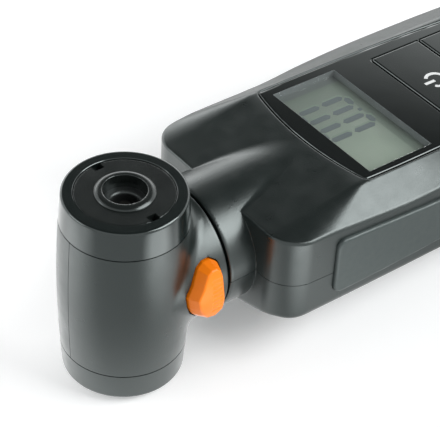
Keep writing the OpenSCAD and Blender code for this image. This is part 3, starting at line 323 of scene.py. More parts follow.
def grip_pad(side):
    """Pad that stands proud of the handle's side with eased edges."""
    def distance(p):
        x, y, z, _ = across(p)
        plan = plan_distance(x, y)
        pad = meet(pad_side(x, z, 0), plan - PAD_PROUD, 0.75)
        return np.maximum(np.maximum(pad, -plan - PAD_SEAT), -side * y)
    return distance


def valve_ring(hole_r, bead, turned):
    """Notched ring with its valve opening; turned rings look down."""
    def distance(p):
        x, y = p[..., 0], p[..., 1]
        z = BARREL_H - p[..., 2] if turned else p[..., 2]
        rho = np.hypot(x, y)
        flange = np.maximum(meet(rho - RING_R + RING_PLAY, z - BARREL_H + RING_SUNK, 0.25), BARREL_H - RING_T - z)
        tube = np.maximum(rho - BEAD_R + RING_PLAY, BARREL_H - SEAL_DEPTH - SEAL_T - z)
        collar = z - BARREL_H
        if bead:
            collar = meet(tilted(collar, rho - BEAD_R + RING_PLAY, -1.0), collar - bead, 0.4)
        ring = np.minimum(flange, np.maximum(tube, collar))
        hole = np.where(z > BARREL_H - SEAL_DEPTH, rho - hole_r, rho - hole_r - HOLE_STEP)
        notch = np.maximum(np.maximum(np.abs(x) - NOTCH_W / 2, RING_R - NOTCH_L - np.abs(y)), BARREL_H - NOTCH_D - z)
        return np.maximum(meet(ring, -hole, 0.3), -notch)
    return distance


# ---- meshes ----

def slopes(distance, p):
    """Unit normals of a form at points: differences of its distance over the corners of a small tetrahedron."""
    total = np.zeros(p.shape)
    for d in ((1, -1, -1), (-1, -1, 1), (-1, 1, -1), (1, 1, 1)):
        d = np.array(d, float)
        total += d * distance(p + 0.004 * d)[..., None]
    return total / np.maximum(np.linalg.norm(total, axis=-1, keepdims=True), 1e-12)


def skin(distance, low, high, step):
    """Skin of a form on a grid: each cell that it passes through gets the one point that fits the tangent planes at
    its edges best, and each grid edge that it crosses gets the face between its four cells."""
    low, step = np.array(low, float), step * np.ones(3)
    n = np.ceil((np.array(high) - low) / step).astype(int) + 1
    grid = low + step * np.stack(np.meshgrid(*[np.arange(k) for k in n], indexing="ij"), -1)
    value = distance(grid)
    inside = value < 0
    cells, points, normals, faces = [], [], [], []
    number = lambda c: (c[:, 0] * n[1] + c[:, 1]) * n[2] + c[:, 2]
    for k in range(3):
        e = np.eye(3, dtype=int)[k]
        first = tuple(slice(0, m - (i == k)) for i, m in enumerate(n))
        second = tuple(slice(int(i == k), m) for i, m in enumerate(n))
        at = np.argwhere(inside[first] != inside[second])
        was = inside[tuple(at.T)]
        base, a, b = low + step * at, np.zeros(len(at)), np.ones(len(at))
        for _ in range(9):
            t = (a + b) / 2
            same = (distance(base + step * t[:, None] * e) < 0) == was
            a, b = np.where(same, t, a), np.where(same, b, t)
        spot = base + step * ((a + b) / 2)[:, None] * e
        normal = slopes(distance, spot)
        u, v = np.eye(3, dtype=int)[(k + 1) % 3], np.eye(3, dtype=int)[(k + 2) % 3]
        ring = [number(at), number(at - u), number(at - u - v), number(at - v)]
        ring = np.stack(ring, 1)
        faces.append(np.where(was[:, None], ring, ring[:, ::-1]))
        cells += [ring.ravel()]
        points += [np.repeat(spot, 4, axis=0)]
        normals += [np.repeat(normal, 4, axis=0)]
    cells, points, normals, faces = map(np.concatenate, (cells, points, normals, faces))
    names, index = np.unique(cells, return_inverse=True)
    total = lambda w: np.bincount(index, w, len(names))
    count = total(np.ones(len(index)))
    mean = np.stack([total(points[:, i]) for i in range(3)], 1) / count[:, None]
    square = np.stack([[total(normals[:, i] * normals[:, j]) for j in range(3)] for i in range(3)]).transpose(2, 0, 1)
    offset = np.einsum("ij,ij->i", normals, points - mean[index])
    right = np.stack([total(normals[:, i] * offset) for i in range(3)], 1)
    ease = 0.03 * count[:, None, None] * np.eye(3)
    move = np.linalg.solve(square + ease, right[..., None])[..., 0]
    corner_at = low + step * np.stack([names // (n[1] * n[2]), names // n[2] % n[1], names % n[2]], 1)
    vertices = np.clip(mean + move, corner_at - 0.02 * step, corner_at + 1.02 * step)
    quads = np.searchsorted(names, faces)
    centres = vertices[quads].mean(1, keepdims=True)
    corners = vertices[quads] + 0.3 * (centres - vertices[quads])
    return vertices, quads, slopes(distance, corners)


def build(name, vertices, faces, normals=None, angle=None):
    """A mesh object from points in millimetres and faces, with corner normals or an angle that makes edges sharp."""
    mesh = bpy.data.meshes.new(name)
    mesh.from_pydata((np.asarray(vertices) / 1000).tolist(), [], [list(map(int, f)) for f in faces])
    mesh.update()
    mesh.shade_smooth()
    if normals is not None:
        mesh.normals_split_custom_set(normals.reshape(-1, 3).tolist())
    if angle:
        mesh.set_sharp_from_angle(angle=math.radians(angle))
    made = bpy.data.objects.new(name, mesh)
    bpy.context.scene.collection.objects.link(made)
    return made


def eased(made):
    """Corner normals weighted by area, so that flat faces stay flat beside narrow rounded edges; put into the mesh."""
    modifier = made.modifiers.new("normals", "WEIGHTED_NORMAL")
    modifier.keep_sharp = True
    bpy.context.view_layer.update()
    mesh = bpy.data.meshes.new_from_object(made.evaluated_get(bpy.context.evaluated_depsgraph_get()))
    made.modifiers.clear()
    made.data = mesh
    return made


def turned_corners(corners, steps=6):
    """A closed profile with each corner (a, b, radius) turned to an arc of that radius."""
    c = np.array(corners, float)
    out = []
    for before, here, after in zip(np.roll(c, 1, 0), c, np.roll(c, -1, 0)):
        p, r = here[:2], here[2]
        to_a, to_b = before[:2] - p, after[:2] - p
        to_a, to_b = to_a / np.linalg.norm(to_a), to_b / np.linalg.norm(to_b)
        half = math.acos(float(np.clip(to_a @ to_b, -1, 1))) / 2
        if r <= 0 or half > 1.55:
            out.append(p[None])
            continue
        reach = r / math.tan(half)
        centre = p + (to_a + to_b) / np.linalg.norm(to_a + to_b) * r / math.sin(half)
        start, end = p + to_a * reach - centre, p + to_b * reach - centre
        a0 = math.atan2(start[1], start[0])
        swing = (math.atan2(end[1], end[0]) - a0 + math.pi) % (2 * math.pi) - math.pi
        t = a0 + swing * np.linspace(0, 1, steps)
        out.append(centre + r * np.stack([np.cos(t), np.sin(t)], 1))
    return np.concatenate(out)


FACING_IN = [0, 3, 2, 1]


def ring_quads(m, n, closed=True):
    """Faces between m rows of n points, each row a loop; the last row joins the first where closed."""
    i, j = np.meshgrid(np.arange(m if closed else m - 1), np.arange(n), indexing="ij")
    i2, j2 = (i + 1) % m, (j + 1) % n
    return np.stack([i * n + j, i * n + j2, i2 * n + j2, i2 * n + j], -1).reshape(-1, 4)


def capped(m, n):
    """Faces between m rows of n points, closed at the first and the last row."""
    return ring_quads(m, n, False).tolist() + [list(range(n - 1, -1, -1)), list(range((m - 1) * n, m * n))]


def lathe(name, profile, turns=160, flip=False):
    """A closed profile of (radius, height) points, anticlockwise, carried round the barrel's axis."""
    t = 2 * math.pi * np.arange(turns) / turns
    r, z = profile[:, 0], profile[:, 1]
    if flip:
        z = BARREL_H - z
    points = np.stack([np.outer(np.cos(t), r), np.outer(np.sin(t), r), np.tile(z, (turns, 1))], -1).reshape(-1, 3)
    quads = ring_quads(turns, len(profile))[:, FACING_IN]
    return eased(build(name, points, quads[:, ::-1] if flip else quads, angle=32))


def on_deck(u, y, w):
    """Points in the deck's own frame, brought into the gauge's."""
    c, s = math.cos(DECK_FALL), math.sin(DECK_FALL)
    return np.stack([DECK_X + u * c + w * s, y, DECK_Z - u * s + w * c], -1)


def slab(outline, levels):
    """Points and faces of an outline on the deck, anticlockwise, carried up through levels (inset, height) and
    closed at both ends. An inset moves each corner along the bisector of its edges' normals."""
    outline = np.asarray(outline, float)
    a, b = outline - np.roll(outline, 1, 0), np.roll(outline, -1, 0) - outline
    a, b = a / np.linalg.norm(a, axis=1, keepdims=True), b / np.linalg.norm(b, axis=1, keepdims=True)
    na, nb = np.stack([a[:, 1], -a[:, 0]], 1), np.stack([b[:, 1], -b[:, 0]], 1)
    out = (na + nb) / (1 + np.sum(na * nb, axis=1, keepdims=True))
    rows = [on_deck(*(outline - inset * out).T, np.full(len(outline), w)) for inset, w in levels]
    return np.concatenate(rows), capped(len(levels), len(outline))


def joined(parts):
    """Several (points, faces) lists as one."""
    points, faces, start = [], [], 0
    for p, f in parts:
        points.append(p)
        faces += [[i + start for i in face] for face in f]
        start += len(p)
    return np.concatenate(points), faces


def round_over(r, top, bottom, steps=5):
    """Levels of a slab whose upper edge is turned to the radius r."""
    t = np.linspace(0, math.pi / 2, steps)
    return [(0, bottom)] + [(r * (1 - math.cos(a)), top - r * (1 - math.sin(a))) for a in t]


def rectangle(l, w, r, u=0.0, y=0.0):
    """Outline of a rectangle with turned corners, anticlockwise, from its near front corner (u, y centred)."""
    return turned_corners([(u, y - w / 2, r), (u + l, y - w / 2, r), (u + l, y + w / 2, r), (u, y + w / 2, r)])


# ---- finishes ----

class Pattern:
    """The nodes of a material or of the sky, with the few patterns that they share. Places are in metres."""

    def __init__(self, tree, coordinates="Object"):
        self.nodes, self.links = tree.nodes, tree.links
        self.place = self.nodes.new("ShaderNodeTexCoord").outputs[coordinates]

    def feed(self, socket, value):
        """Sets a socket to a number or a colour, or links another socket to it."""
        if isinstance(value, bpy.types.NodeSocket):
            self.links.new(value, socket)
        else:
            socket.default_value = (*value, 1) if socket.type == "RGBA" else value

    def combined(self, operation, a, b):
        """Two values added, multiplied, or the greater of them."""
        node = self.nodes.new("ShaderNodeMath")
        node.operation = operation
        self.feed(node.inputs[0], a)
        self.feed(node.inputs[1], b)
        return node.outputs[0]

    def spread(self, value, low, high, start=0.3, end=0.7, smooth=False):
        """Brings a value from start..end to low..high, in a straight line or with eased ends."""
        node = self.nodes.new("ShaderNodeMapRange")
        node.interpolation_type = "SMOOTHSTEP" if smooth else "LINEAR"
        limits = {"Value": value, "From Min": start, "From Max": end, "To Min": low, "To Max": high}
        for key, part in limits.items():
            self.feed(node.inputs[key], part)
        return node.outputs["Result"]

    def against(self, operation, way):
        """The place's distance from a point, or how far it runs along a direction."""
        node = self.nodes.new("ShaderNodeVectorMath")
        node.operation = operation
        node.inputs[1].default_value = way
        self.links.new(self.place, node.inputs[0])
        return node.outputs["Value"]

    def along(self, axis):
        """The place's X, Y or Z."""
        node = self.nodes.new("ShaderNodeSeparateXYZ")
        self.links.new(self.place, node.inputs["Vector"])
        return node.outputs[axis]

    def blend(self, factor, a, b):
        """Colour a where the factor is 0 and b where it is 1; either may be a colour or a socket."""
        node = self.nodes.new("ShaderNodeMix")
        node.data_type = "RGBA"
        for socket, value in ((node.inputs["Factor"], factor), (node.inputs[6], a), (node.inputs[7], b)):
            self.feed(socket, value)
        return node.outputs[2]

    def seen(self, other, by_camera):
        """One value for the camera's rays and another for all others."""
        path = self.nodes.new("ShaderNodeLightPath")
        return self.spread(path.outputs["Is Camera Ray"], other, by_camera, 0, 1)


class Finish(Pattern):
    """A Principled material on Object coordinates."""

    def __init__(self, name, rough, metal=0.0, specular=0.5, tint=None):
        self.material = bpy.data.materials.new(name)
        self.material.use_nodes = True
        super().__init__(self.material.node_tree)
        self.shader = self.nodes["Principled BSDF"]
        self.shader.inputs["Roughness"].default_value = rough
        self.shader.inputs["Metallic"].default_value = metal
        self.shader.inputs["Specular IOR Level"].default_value = specular
        if tint:
            self.shader.inputs["Specular Tint"].default_value = (*tint, 1)

    def noise(self, size, detail=3.0, stretch=(1, 1, 1)):
        """Noise with features of that size in millimetres, stretched along the axes."""
        mapping = self.nodes.new("ShaderNodeMapping")
        mapping.inputs["Scale"].default_value = [1000 / size / s for s in stretch]
        self.links.new(self.place, mapping.inputs["Vector"])
        node = self.nodes.new("ShaderNodeTexNoise")
        node.inputs["Scale"].default_value = 1.0
        node.inputs["Detail"].default_value = detail
        self.links.new(mapping.outputs["Vector"], node.inputs["Vector"])
        return node.outputs["Fac"]

    def colour(self, socket):
        """Takes the base colour from a pattern."""
        self.links.new(socket, self.shader.inputs["Base Color"])

    def rough(self, socket):
        """Takes the roughness from a pattern."""
        self.links.new(socket, self.shader.inputs["Roughness"])

    def bump(self, *layers):
        """Stacks bumps: each layer is a pattern and its height in millimetres."""
        normal = None
        for pattern, height in layers:
            node = self.nodes.new("ShaderNodeBump")
            node.inputs["Distance"].default_value = height / 1000
            self.links.new(pattern, node.inputs["Height"])
            if normal:
                self.links.new(normal, node.inputs["Normal"])
            normal = node.outputs["Normal"]
        self.links.new(normal, self.shader.inputs["Normal"])


COOL = (0.90, 1.0, 0.99)


def moulded(name, base, rough, grain=0.004, grain_size=0.22, specular=0.5, vary=0.12, tint=None):
    """Moulded plastic: slow mottling of colour and gloss, and a fine spark-eroded grain."""
    made = Finish(name, rough, specular=specular, tint=tint)
    slow, fine = made.noise(9, 4), made.noise(grain_size, 2)
    dark, light = [c * (1 - vary) for c in base], [c * (1 + vary) for c in base]
    made.colour(made.blend(made.spread(slow, 0, 1), dark, light))
    made.rough(made.spread(made.noise(3.5, 5), rough * 0.88, rough * 1.14))
    made.bump((fine, grain), (made.noise(14, 2), 0.008))
    return made


def rubber(name, base, rough=0.62, grain=0.010, specular=0.35, tint=None):
    """Rubber: dull, with a coarse grain and a dusting of paler specks."""
    made = Finish(name, rough, specular=specular, tint=tint)
    specks = made.spread(made.noise(0.3, 3), 0, 1, 0.55, 0.8)
    made.colour(made.blend(specks, base, [c * 1.5 for c in base]))
    made.rough(made.spread(made.noise(1.2, 4), rough * 0.9, rough * 1.1))
    made.bump((made.noise(0.26, 3), grain))
    return made


def metal(name, base, rough=0.3, stretch=(1, 1, 1), grain=0.003):
    """Worked metal: fine tool marks and a slow change of tint."""
    made = Finish(name, rough, metal=1.0)
    made.colour(made.blend(made.spread(made.noise(4, 3), 0, 1), base, [c * 0.82 for c in base]))
    marks = made.noise(0.2, 2, stretch)
    made.rough(made.spread(marks, rough * 0.75, rough * 1.25))
    made.bump((marks, grain))
    return made


def board_finish():
    """Circuit board: green lacquer with tracks in squares, a shade lighter, and tinned dots."""
    made = Finish("board_laminate", 0.35)
    tracks = made.nodes.new("ShaderNodeTexBrick")
    tracks.inputs["Scale"].default_value = 220
    tracks.inputs["Mortar Size"].default_value = 0.08
    for key, value in (("Color1", (0.01, 0.11, 0.04)), ("Color2", (0.012, 0.13, 0.05)), ("Mortar", (0.03, 0.22, 0.08))):
        tracks.inputs[key].default_value = (*value, 1)
    made.links.new(made.place, tracks.inputs["Vector"])
    dots = made.nodes.new("ShaderNodeTexVoronoi")
    dots.inputs["Scale"].default_value = 330
    made.links.new(made.place, dots.inputs["Vector"])
    pads = made.spread(dots.outputs["Distance"], 1, 0, 0.12, 0.16)
    made.colour(made.blend(pads, tracks.outputs["Color"], (0.55, 0.55, 0.5)))
    made.bump((tracks.outputs["Fac"], 0.02))
    return made


def display_finish():
    """Liquid crystal glass: green-grey, darkened by painted shade towards its far and tail sides, with a cooler band of
    painted shade along its far border.
    """
    made = Finish("display_glass", 0.35, specular=0.4)
    cloud = made.spread(made.noise(7, 2), 0, 1)
    field = made.blend(cloud, (0.274, 0.318, 0.272), (0.302, 0.346, 0.296))
    # Painted shade: the glass darkens from its near side towards its far side.
    painted_shade = made.spread(made.along("Y"), 0, 0.55, -0.007, 0.009)
    # Painted shade: the glass darkens towards its tail side, most in a narrow band at its tail edge.
    for start, end, deep in ((13.5, 17.2, 0.30), (17.3, 18.2, 0.60)):
        tail = made.spread(made.along("X"), 0, deep, (DECK_X + start) / 1000, (DECK_X + end) / 1000)
        painted_shade = made.combined("MAXIMUM", painted_shade, tail)
    field = made.blend(painted_shade, field, (0.085, 0.105, 0.098))
    # Painted shade: a cooler grey band along the far border stands for the shade of the window's recess.
    far_painted_shade = made.spread(made.along("Y"), 0, 1, 0.0124, 0.0130)
    made.colour(made.blend(far_painted_shade, field, (0.155, 0.172, 0.170)))
    made.bump((made.noise(0.12, 1), 0.001))
    return made


def clear_window():
    """Clear plate: light passes, and a small share of it is mirrored."""
    made = Finish("window_clear", 0.03, metal=1.0)
    tint = made.blend(made.spread(made.noise(6, 2), 0, 1), (0.95, 0.97, 0.96), (0.97, 0.98, 0.975))
    clear = made.nodes.new("ShaderNodeBsdfTransparent")
    made.links.new(tint, clear.inputs["Color"])
    made.shader.inputs["Base Color"].default_value = (0.95, 0.95, 0.95, 1)
    made.rough(made.spread(made.noise(5, 3), 0.02, 0.05))
    mix = made.nodes.new("ShaderNodeMixShader")
    mix.inputs[0].default_value = 0.04
    made.links.new(clear.outputs[0], mix.inputs[1])
    made.links.new(made.shader.outputs[0], mix.inputs[2])
    made.links.new(mix.outputs[0], made.nodes["Material Output"].inputs["Surface"])
    return made


SHELL = (0.0055, 0.0090, 0.0084)
GLOSSY = {"specular": 0.95, "tint": COOL}
FINISHES = {
    "shell_plastic": moulded("shell_plastic", SHELL, 0.31, grain=0.016, grain_size=0.3, vary=0.08, **GLOSSY),
    "cap_plastic": moulded("cap_plastic", (0.0052, 0.0082, 0.0078), 0.14, grain=0.0006, vary=0.06, **GLOSSY),
    "lower_cap_plastic": moulded("lower_cap_plastic", SHELL, 0.32, grain=0.003, vary=0.08, **GLOSSY),
    "ring_plastic": moulded("ring_plastic", (0.0075, 0.0095, 0.0090), 0.22, 0.0012, 0.22, 0.68, 0.08, COOL),
    "seal_rubber": rubber("seal_rubber", (0.016, 0.018, 0.018), 0.36, 0.006, 0.8, COOL),
    "grip_rubber": rubber("grip_rubber", (0.025, 0.034, 0.033), 0.45, 0.010, 0.85, COOL),
    "block_metal": metal("block_metal", (0.66, 0.68, 0.70), 0.32, (1, 1, 8)),
    # Brass darkened well below bright brass; the darkening is painted shade, chosen for brass seen deep in the valve's
    # hole.
    "brass_parts": metal("brass_parts", (0.33, 0.21, 0.08), 0.34, (8, 1, 1)),
    "steel_parts": metal("steel_parts", (0.56, 0.56, 0.57), 0.25, (1, 6, 1)),
    # Painted shade: a near-black metal for the core pins stands for the shade inside the valve's hole.
    "pin_metal": metal("pin_metal", (0.085, 0.085, 0.08), 0.42, (1, 1, 6)),
    "washer_plastic": moulded("washer_plastic", (0.008, 0.008, 0.008), 0.5),
    "button_plastic": moulded("button_plastic", (0.95, 0.215, 0.003), 0.36, 0.002, 0.3, specular=0.35, vary=0.05),
    "bearing_plastic": moulded("bearing_plastic", (0.62, 0.61, 0.56), 0.38),
    "hose_silicone": rubber("hose_silicone", (0.60, 0.59, 0.54), 0.4, 0.003),
    "board_laminate": board_finish(),
    "chip_plastic": moulded("chip_plastic", (0.012, 0.012, 0.013), 0.45),
    "panel_plastic": moulded("panel_plastic", (0.0050, 0.0066, 0.0063), 0.05, 0.00015, 0.5, 1.0, 0.1, COOL),
    "window_clear": clear_window(),
    "display_glass": display_finish(),
    "strip_rubber": rubber("strip_rubber", (0.5, 0.5, 0.52), 0.5),
    "door_plastic": moulded("door_plastic", SHELL, 0.42),
    "lcd_ink": moulded("lcd_ink", (0.115, 0.135, 0.145), 0.4, grain=0.0005, vary=0.04),
    # Painted shadow of the display's digits.
    "lcd_painted_shadow": moulded("lcd_painted_shadow", (0.19, 0.235, 0.20), 0.4, grain=0.0005, vary=0.04),
    # Painted light on the walls of the window's opening.
    "painted_wall_light": moulded("painted_wall_light", (0.17, 0.185, 0.19), 0.5, grain=0.0008, vary=0.05),
    "key_print": moulded("key_print", (0.72, 0.74, 0.74), 0.3, grain=0.0008, vary=0.04),
}


def dress(made, finish, body, *replaced, slot=None):
    """Gives an object its finish, its body and the CAD nodes that it stands for."""
    made.data.materials.clear()
    made.data.materials.append(FINISHES[finish].material)
    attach(made, body)
    if replaced:
        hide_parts(*replaced)


# CAD nodes that keep their own shape
for row in frame["record"]["subparts"]:
    own = frame["nodes"][row["node"]].data
    own.materials.clear()
    # Core pins get a near-black metal that is painted shade for the inside of the valve's hole.
    finish = "pin_metal" if row["node"].endswith("core_pin") else row["material_slot"]
    own.materials.append(FINISHES[finish].material)

# ---- head ----

for side, label in ((-1, "near"), (1, "far")):
    low = (-13.6, -14.4 if side < 0 else -0.5, 5.5)
    high = (15.8, 0.5 if side < 0 else 14.4, 37.0)
    made = build(f"head_{label}", *skin(head_shell(side), low, high, 0.34))
    dress(made, "shell_plastic", "head", f"head_shell_{label}")


def cap_profile(edge):
    """Profile of an end cap whose outer edge is turned to a radius; the barrel's arc is its side, and its skirt
    goes into the barrel."""
    seam = BARREL_H - CAP_H + SEAM
    arc = np.linspace(seam, BARREL_H - edge, 9)
    side = np.stack([barrel_r(arc), arc], 1)
    t = np.linspace(0, math.pi / 2, 8)[1:]
    r = barrel_r(BARREL_H - edge) - edge
    turn = np.stack([r + edge * np.cos(t), BARREL_H - edge + edge * np.sin(t)], 1)
    seat = BARREL_H - RING_T
    inner = [(RING_R + 0.1, BARREL_H), (RING_R, BARREL_H - 0.1), (RING_R, seat), (CAP_HOLE_R, seat), (CAP_HOLE_R, seam),
             (SKIRT_IN_R, seam), (SKIRT_IN_R, seam - SKIRT_H), (SKIRT_R, seam - SKIRT_H), (SKIRT_R, seam)]
    return np.concatenate([side, turn, inner])


dress(lathe("cap_upper", cap_profile(0.6)), "cap_plastic", "head", "top_cap")
dress(lathe("cap_lower", cap_profile(0.8), flip=True), "lower_cap_plastic", "head", "bottom_cap", slot="cap_plastic")

lip_top, lip_foot = BARREL_H - SEAL_DEPTH, BARREL_H - SEAL_DEPTH - SEAL_T
lip = turned_corners([(SEAL_LIP_R, lip_foot, 0), (SEAL_R, lip_foot, 0), (SEAL_R, lip_top, 0),
                      (SEAL_LIP_R, lip_top, 0.8)], 9)
dress(lathe("seal_upper", lip, 120), "seal_rubber", "head", "top_seal")

reach = RING_R + 0.4
ring = skin(valve_ring(CAR_VALVE_R, BEAD_H, False), (-reach, -reach, 36.6), (reach, reach, 43.4), 0.24)
dress(build("ring_upper", *ring), "ring_plastic", "head", "top_ring")
ring = skin(valve_ring(SLIM_VALVE_R, 0, True), (-reach, -reach, -0.5), (reach, reach, 6.0), 0.3)
dress(build("ring_lower", *ring), "ring_plastic", "head", "bottom_ring")

button = build("deflate_cap", *skin(deflate_button, (4.4, -16.2, 12.4), (13.6, -8.5, 30.6), 0.2))
dress(button, "button_plastic", "deflate_push", "deflate_button")


def coil(low, high, r, wire, turns=3, steps=48, sides=10):
    """A round wire carried along an even helix round the button's stem, closed at both ends."""
    t = np.linspace(0, 1, turns * steps + 1)[:, None]
    s = 2 * math.pi * np.arange(sides) / sides
    a = 2 * math.pi * turns * t
    out, up = (r + wire * np.cos(s)), low + (high - low) * t + wire * np.sin(s)
    c, k = math.cos(BUTTON_TILT), math.sin(BUTTON_TILT)
    across_stem, along_neck = out * np.cos(a), out * np.sin(a)
    points = np.stack([BUTTON_X + across_stem, along_neck * k - up * c, AXIS_Z + along_neck * c + up * k], -1)
    return points.reshape(-1, 3), capped(len(t), sides)


spring = build("return_coil", *coil(SPRING_LOW + 0.25, SPRING_HIGH - 0.25, SPRING_R, WIRE_R), angle=60)
dress(spring, "steel_parts", "head", "deflate_spring")
push = np.array([0, math.cos(BUTTON_TILT), -math.sin(BUTTON_TILT)])
foot = np.array([BUTTON_X, 0, AXIS_Z]) - SPRING_LOW * push
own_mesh(spring)

# ---- handle ----

for top, label, low, high, step in ((True, "upper", AXIS_Z - 0.6, 36.2, (0.56, 0.38, 0.42)),
                                    (False, "lower", 5.9, AXIS_Z + 0.6, (0.54, 0.42, 0.42))):
    made = build(f"handle_{label}", *skin(handle_shell(top), (15.0, -24.4, low), (120.4, 24.4, high), step))
    dress(made, "shell_plastic", "handle", "top_shell" if top else "bottom_shell")
for side, label in ((-1, "near"), (1, "far")):
    low = (32.6, -25.2 if side < 0 else 19.0, 15.2)
    high = (99.5, -19.0 if side < 0 else 25.2, 30.8)
    dress(build(f"pad_{label}", *skin(grip_pad(side), low, high, 0.42)), "grip_rubber", "handle", f"grip_{label}")


def deck_skin(name, distance, low, high, step):
    """Skin of a form given in the deck's own frame, turned into the gauge's with its normals."""
    points, quads, normals = skin(distance, low, high, step)
    c, s = math.cos(DECK_FALL), math.sin(DECK_FALL)
    turn = np.array([[c, 0, -s], [0, 1, 0], [s, 0, c]])
    return build(name, on_deck(*points.T), quads, normals @ turn)


def panel_path(grow):
    """Points round the panel's outline grown by some distance: rays from its middle, each shortened or lengthened
    by the distance at its end until that is zero."""
    t = 2 * math.pi * np.arange(RIM_COUNT) / RIM_COUNT
    way = np.stack([np.cos(t) * PANEL_L / 2, np.sin(t) * PANEL_W / 2], 1)
    reach = np.full(RIM_COUNT, 1.2)
    middle = np.array([PANEL_L / 2, 0])
    for _ in range(60):
        ends = middle + reach[:, None] * way
        reach -= panel_side(*ends.T, grow, 0.9) / np.linalg.norm(way, axis=1)
    return middle + reach[:, None] * way


def panel_rim():
    """The lip round the panel's seat: a profile of (distance out from the panel, depth, lean of the normal) with a
    turned inner edge, carried round the outline. Depths are taken from the handle's own surface, found by stepping
    down to it by the distance; normals turn from inwards to the surface's own."""
    turn, upright = np.linspace(0, math.pi / 2, 6), math.pi / 2
    edge = np.stack([RIM_OUT + RIM_TURN * (1 - np.cos(turn)), RIM_TURN * (np.sin(turn) - 1), turn], 1)
    profile = np.concatenate([[(RIM_OUT, -1.5, 0)], edge, [(0.85, 0.004, upright), (1.25, 0.004, upright),
                                                          (1.32, -0.06, upright), (1.32, -1.5, upright)]])
    rows, normals = [], []
    for out, depth, lean in profile:
        u, y = panel_path(out).T
        w = np.full(len(u), 1.5)
        for _ in range(40):
            w = w - handle_block(on_deck(u, y, w))
        top = slopes(handle_block, on_deck(u, y, w))
        slope = np.stack([panel_side(u + 0.01, y, 0) - panel_side(u - 0.01, y, 0),
                          panel_side(u, y + 0.01, 0) - panel_side(u, y - 0.01, 0)])
        slope = slope / np.linalg.norm(slope, axis=0)
        outward = on_deck(*slope, 0 * u) - on_deck(0 * u, 0 * u, 0 * u)
        rows.append(on_deck(u, y, np.minimum(w, 0.0) + depth))
        normals.append(top * math.sin(lean) - outward * math.cos(lean))
    quads = ring_quads(len(profile), RIM_COUNT)[:, FACING_IN]
    return np.concatenate(rows), quads, np.concatenate(normals)[quads]


dress(deck_skin("panel", panel_plate, (-0.8, -17.6, -2.2), (65.4, 17.6, 0.4), (0.36, 0.36, 0.2)),
      "panel_plastic", "handle", "display_panel")
dress(build("panel_rim", *panel_rim()), "shell_plastic", "handle")


def band(outer, inner, low, high):
    """A closed band between two outlines of as many points, from one height to another on the deck."""
    sides = (outer, low), (outer, high), (inner, high), (inner, low)
    rows = [on_deck(*line.T, np.full(len(outer), w)) for line, w in sides]
    return np.concatenate(rows), ring_quads(len(rows), len(outer))


def window_frame(inset):
    """Outline of the window, drawn in by some distance."""
    return rectangle(WINDOW_L - 2 * inset, WINDOW_W - 2 * inset, 0.22, WINDOW_AT + inset, WINDOW_Y)


# Painted light: the walls of the window's opening get a grey band that stands for how light falls on these black walls.
painted_wall_light = build("window_wall_painted_light", *band(window_frame(-0.08), window_frame(0.06), -PANEL_T + 0.01, -0.03), angle=40)
dress(painted_wall_light, "painted_wall_light", "handle", slot="display_glass")

window = build("window", *slab(window_frame(0.07), [(0, -WINDOW_T), (0, -0.06), (0.04, -0.02)]), angle=32)
dress(eased(window), "window_clear", "handle", "display_window")

for n, label in enumerate(("power", "unit")):
    start = KEY_AT + n * (KEY_L + KEY_SPLIT)
    foot = rectangle(KEY_L + KEY_FOOT, KEY_W + 2 * KEY_FOOT, 0.3, start - (KEY_FOOT if n == 0 else 0))
    t = 2 * math.pi * np.arange(24) / 24
    stem = np.stack([start + KEY_L / 2 + KEY_STEM_R * np.cos(t), KEY_STEM_R * np.sin(t)], 1)
    face = rectangle(KEY_L, KEY_W, KEY_CORNER, start)
    parts = [slab(face, round_over(0.42, KEY_PROUD, KEY_SIDE_LOW)), slab(foot, [(0, KEY_FOOT_LOW), (0, KEY_FOOT_TOP)]),
             slab(stem, [(0, KEY_STEM_LOW), (0, KEY_FOOT_LOW + 0.05)])]
    dress(eased(build(f"key_{label}", *joined(parts), angle=32)), "panel_plastic", f"{label}_push", f"{label}_key")


def stroke(a, b, width, w):
    """A straight stroke with pointed ends between two points of the deck, as display segments have."""
    a, b = np.array(a, float), np.array(b, float)
    along = (b - a) / np.linalg.norm(b - a)
    side = np.array([-along[1], along[0]]) * width / 2
    tip = along * width / 2
    return slab([a, a + tip - side, b - tip - side, b, b - tip + side, a + tip + side], [(0, w), (0, w + INK_T)])


def zero(y, shift=(0.0, 0.0), w=-PANEL_T, width=1.4):
    """The six strokes of a nought whose top is towards the head."""
    top, mid, low, half = 5.4 + shift[0], 11.5 + shift[0], 17.7 + shift[0], 1.75
    y = y + shift[1]
    ends = [((a, y + side), (b, y + side)) for side in (-half, half) for a, b in ((top, mid), (mid, low))]
    ends += [((end, y - half), (end, y + half)) for end in (top, low)]
    cut_back = lambda a, b: (np.array(a) + 0.32 * (np.array(b) - a) / np.linalg.norm(np.array(b) - a))
    return [stroke(cut_back(a, b), cut_back(b, a), width, w) for a, b in ends]


point = slab(rectangle(0.9, 0.9, 0.2, 17.3, 2.65), [(0, -PANEL_T), (0, -PANEL_T + INK_T)])
digits = build("display_digits", *joined(zero(-0.75) + zero(6.0) + [point]), angle=30)
dress(digits, "lcd_ink", "handle", slot="display_glass")
# Painted shadow: a darker copy of the digits' strokes, a little deeper and set aside, stands for the shadow they cast
# on the display behind.
shade = [part for y in (-0.75, 6.0) for part in zero(y, (0.35, 0.45), -PANEL_T - 0.012, 1.5)]
dress(build("display_shade", *joined(shade), angle=30), "lcd_painted_shadow", "handle", slot="display_glass")


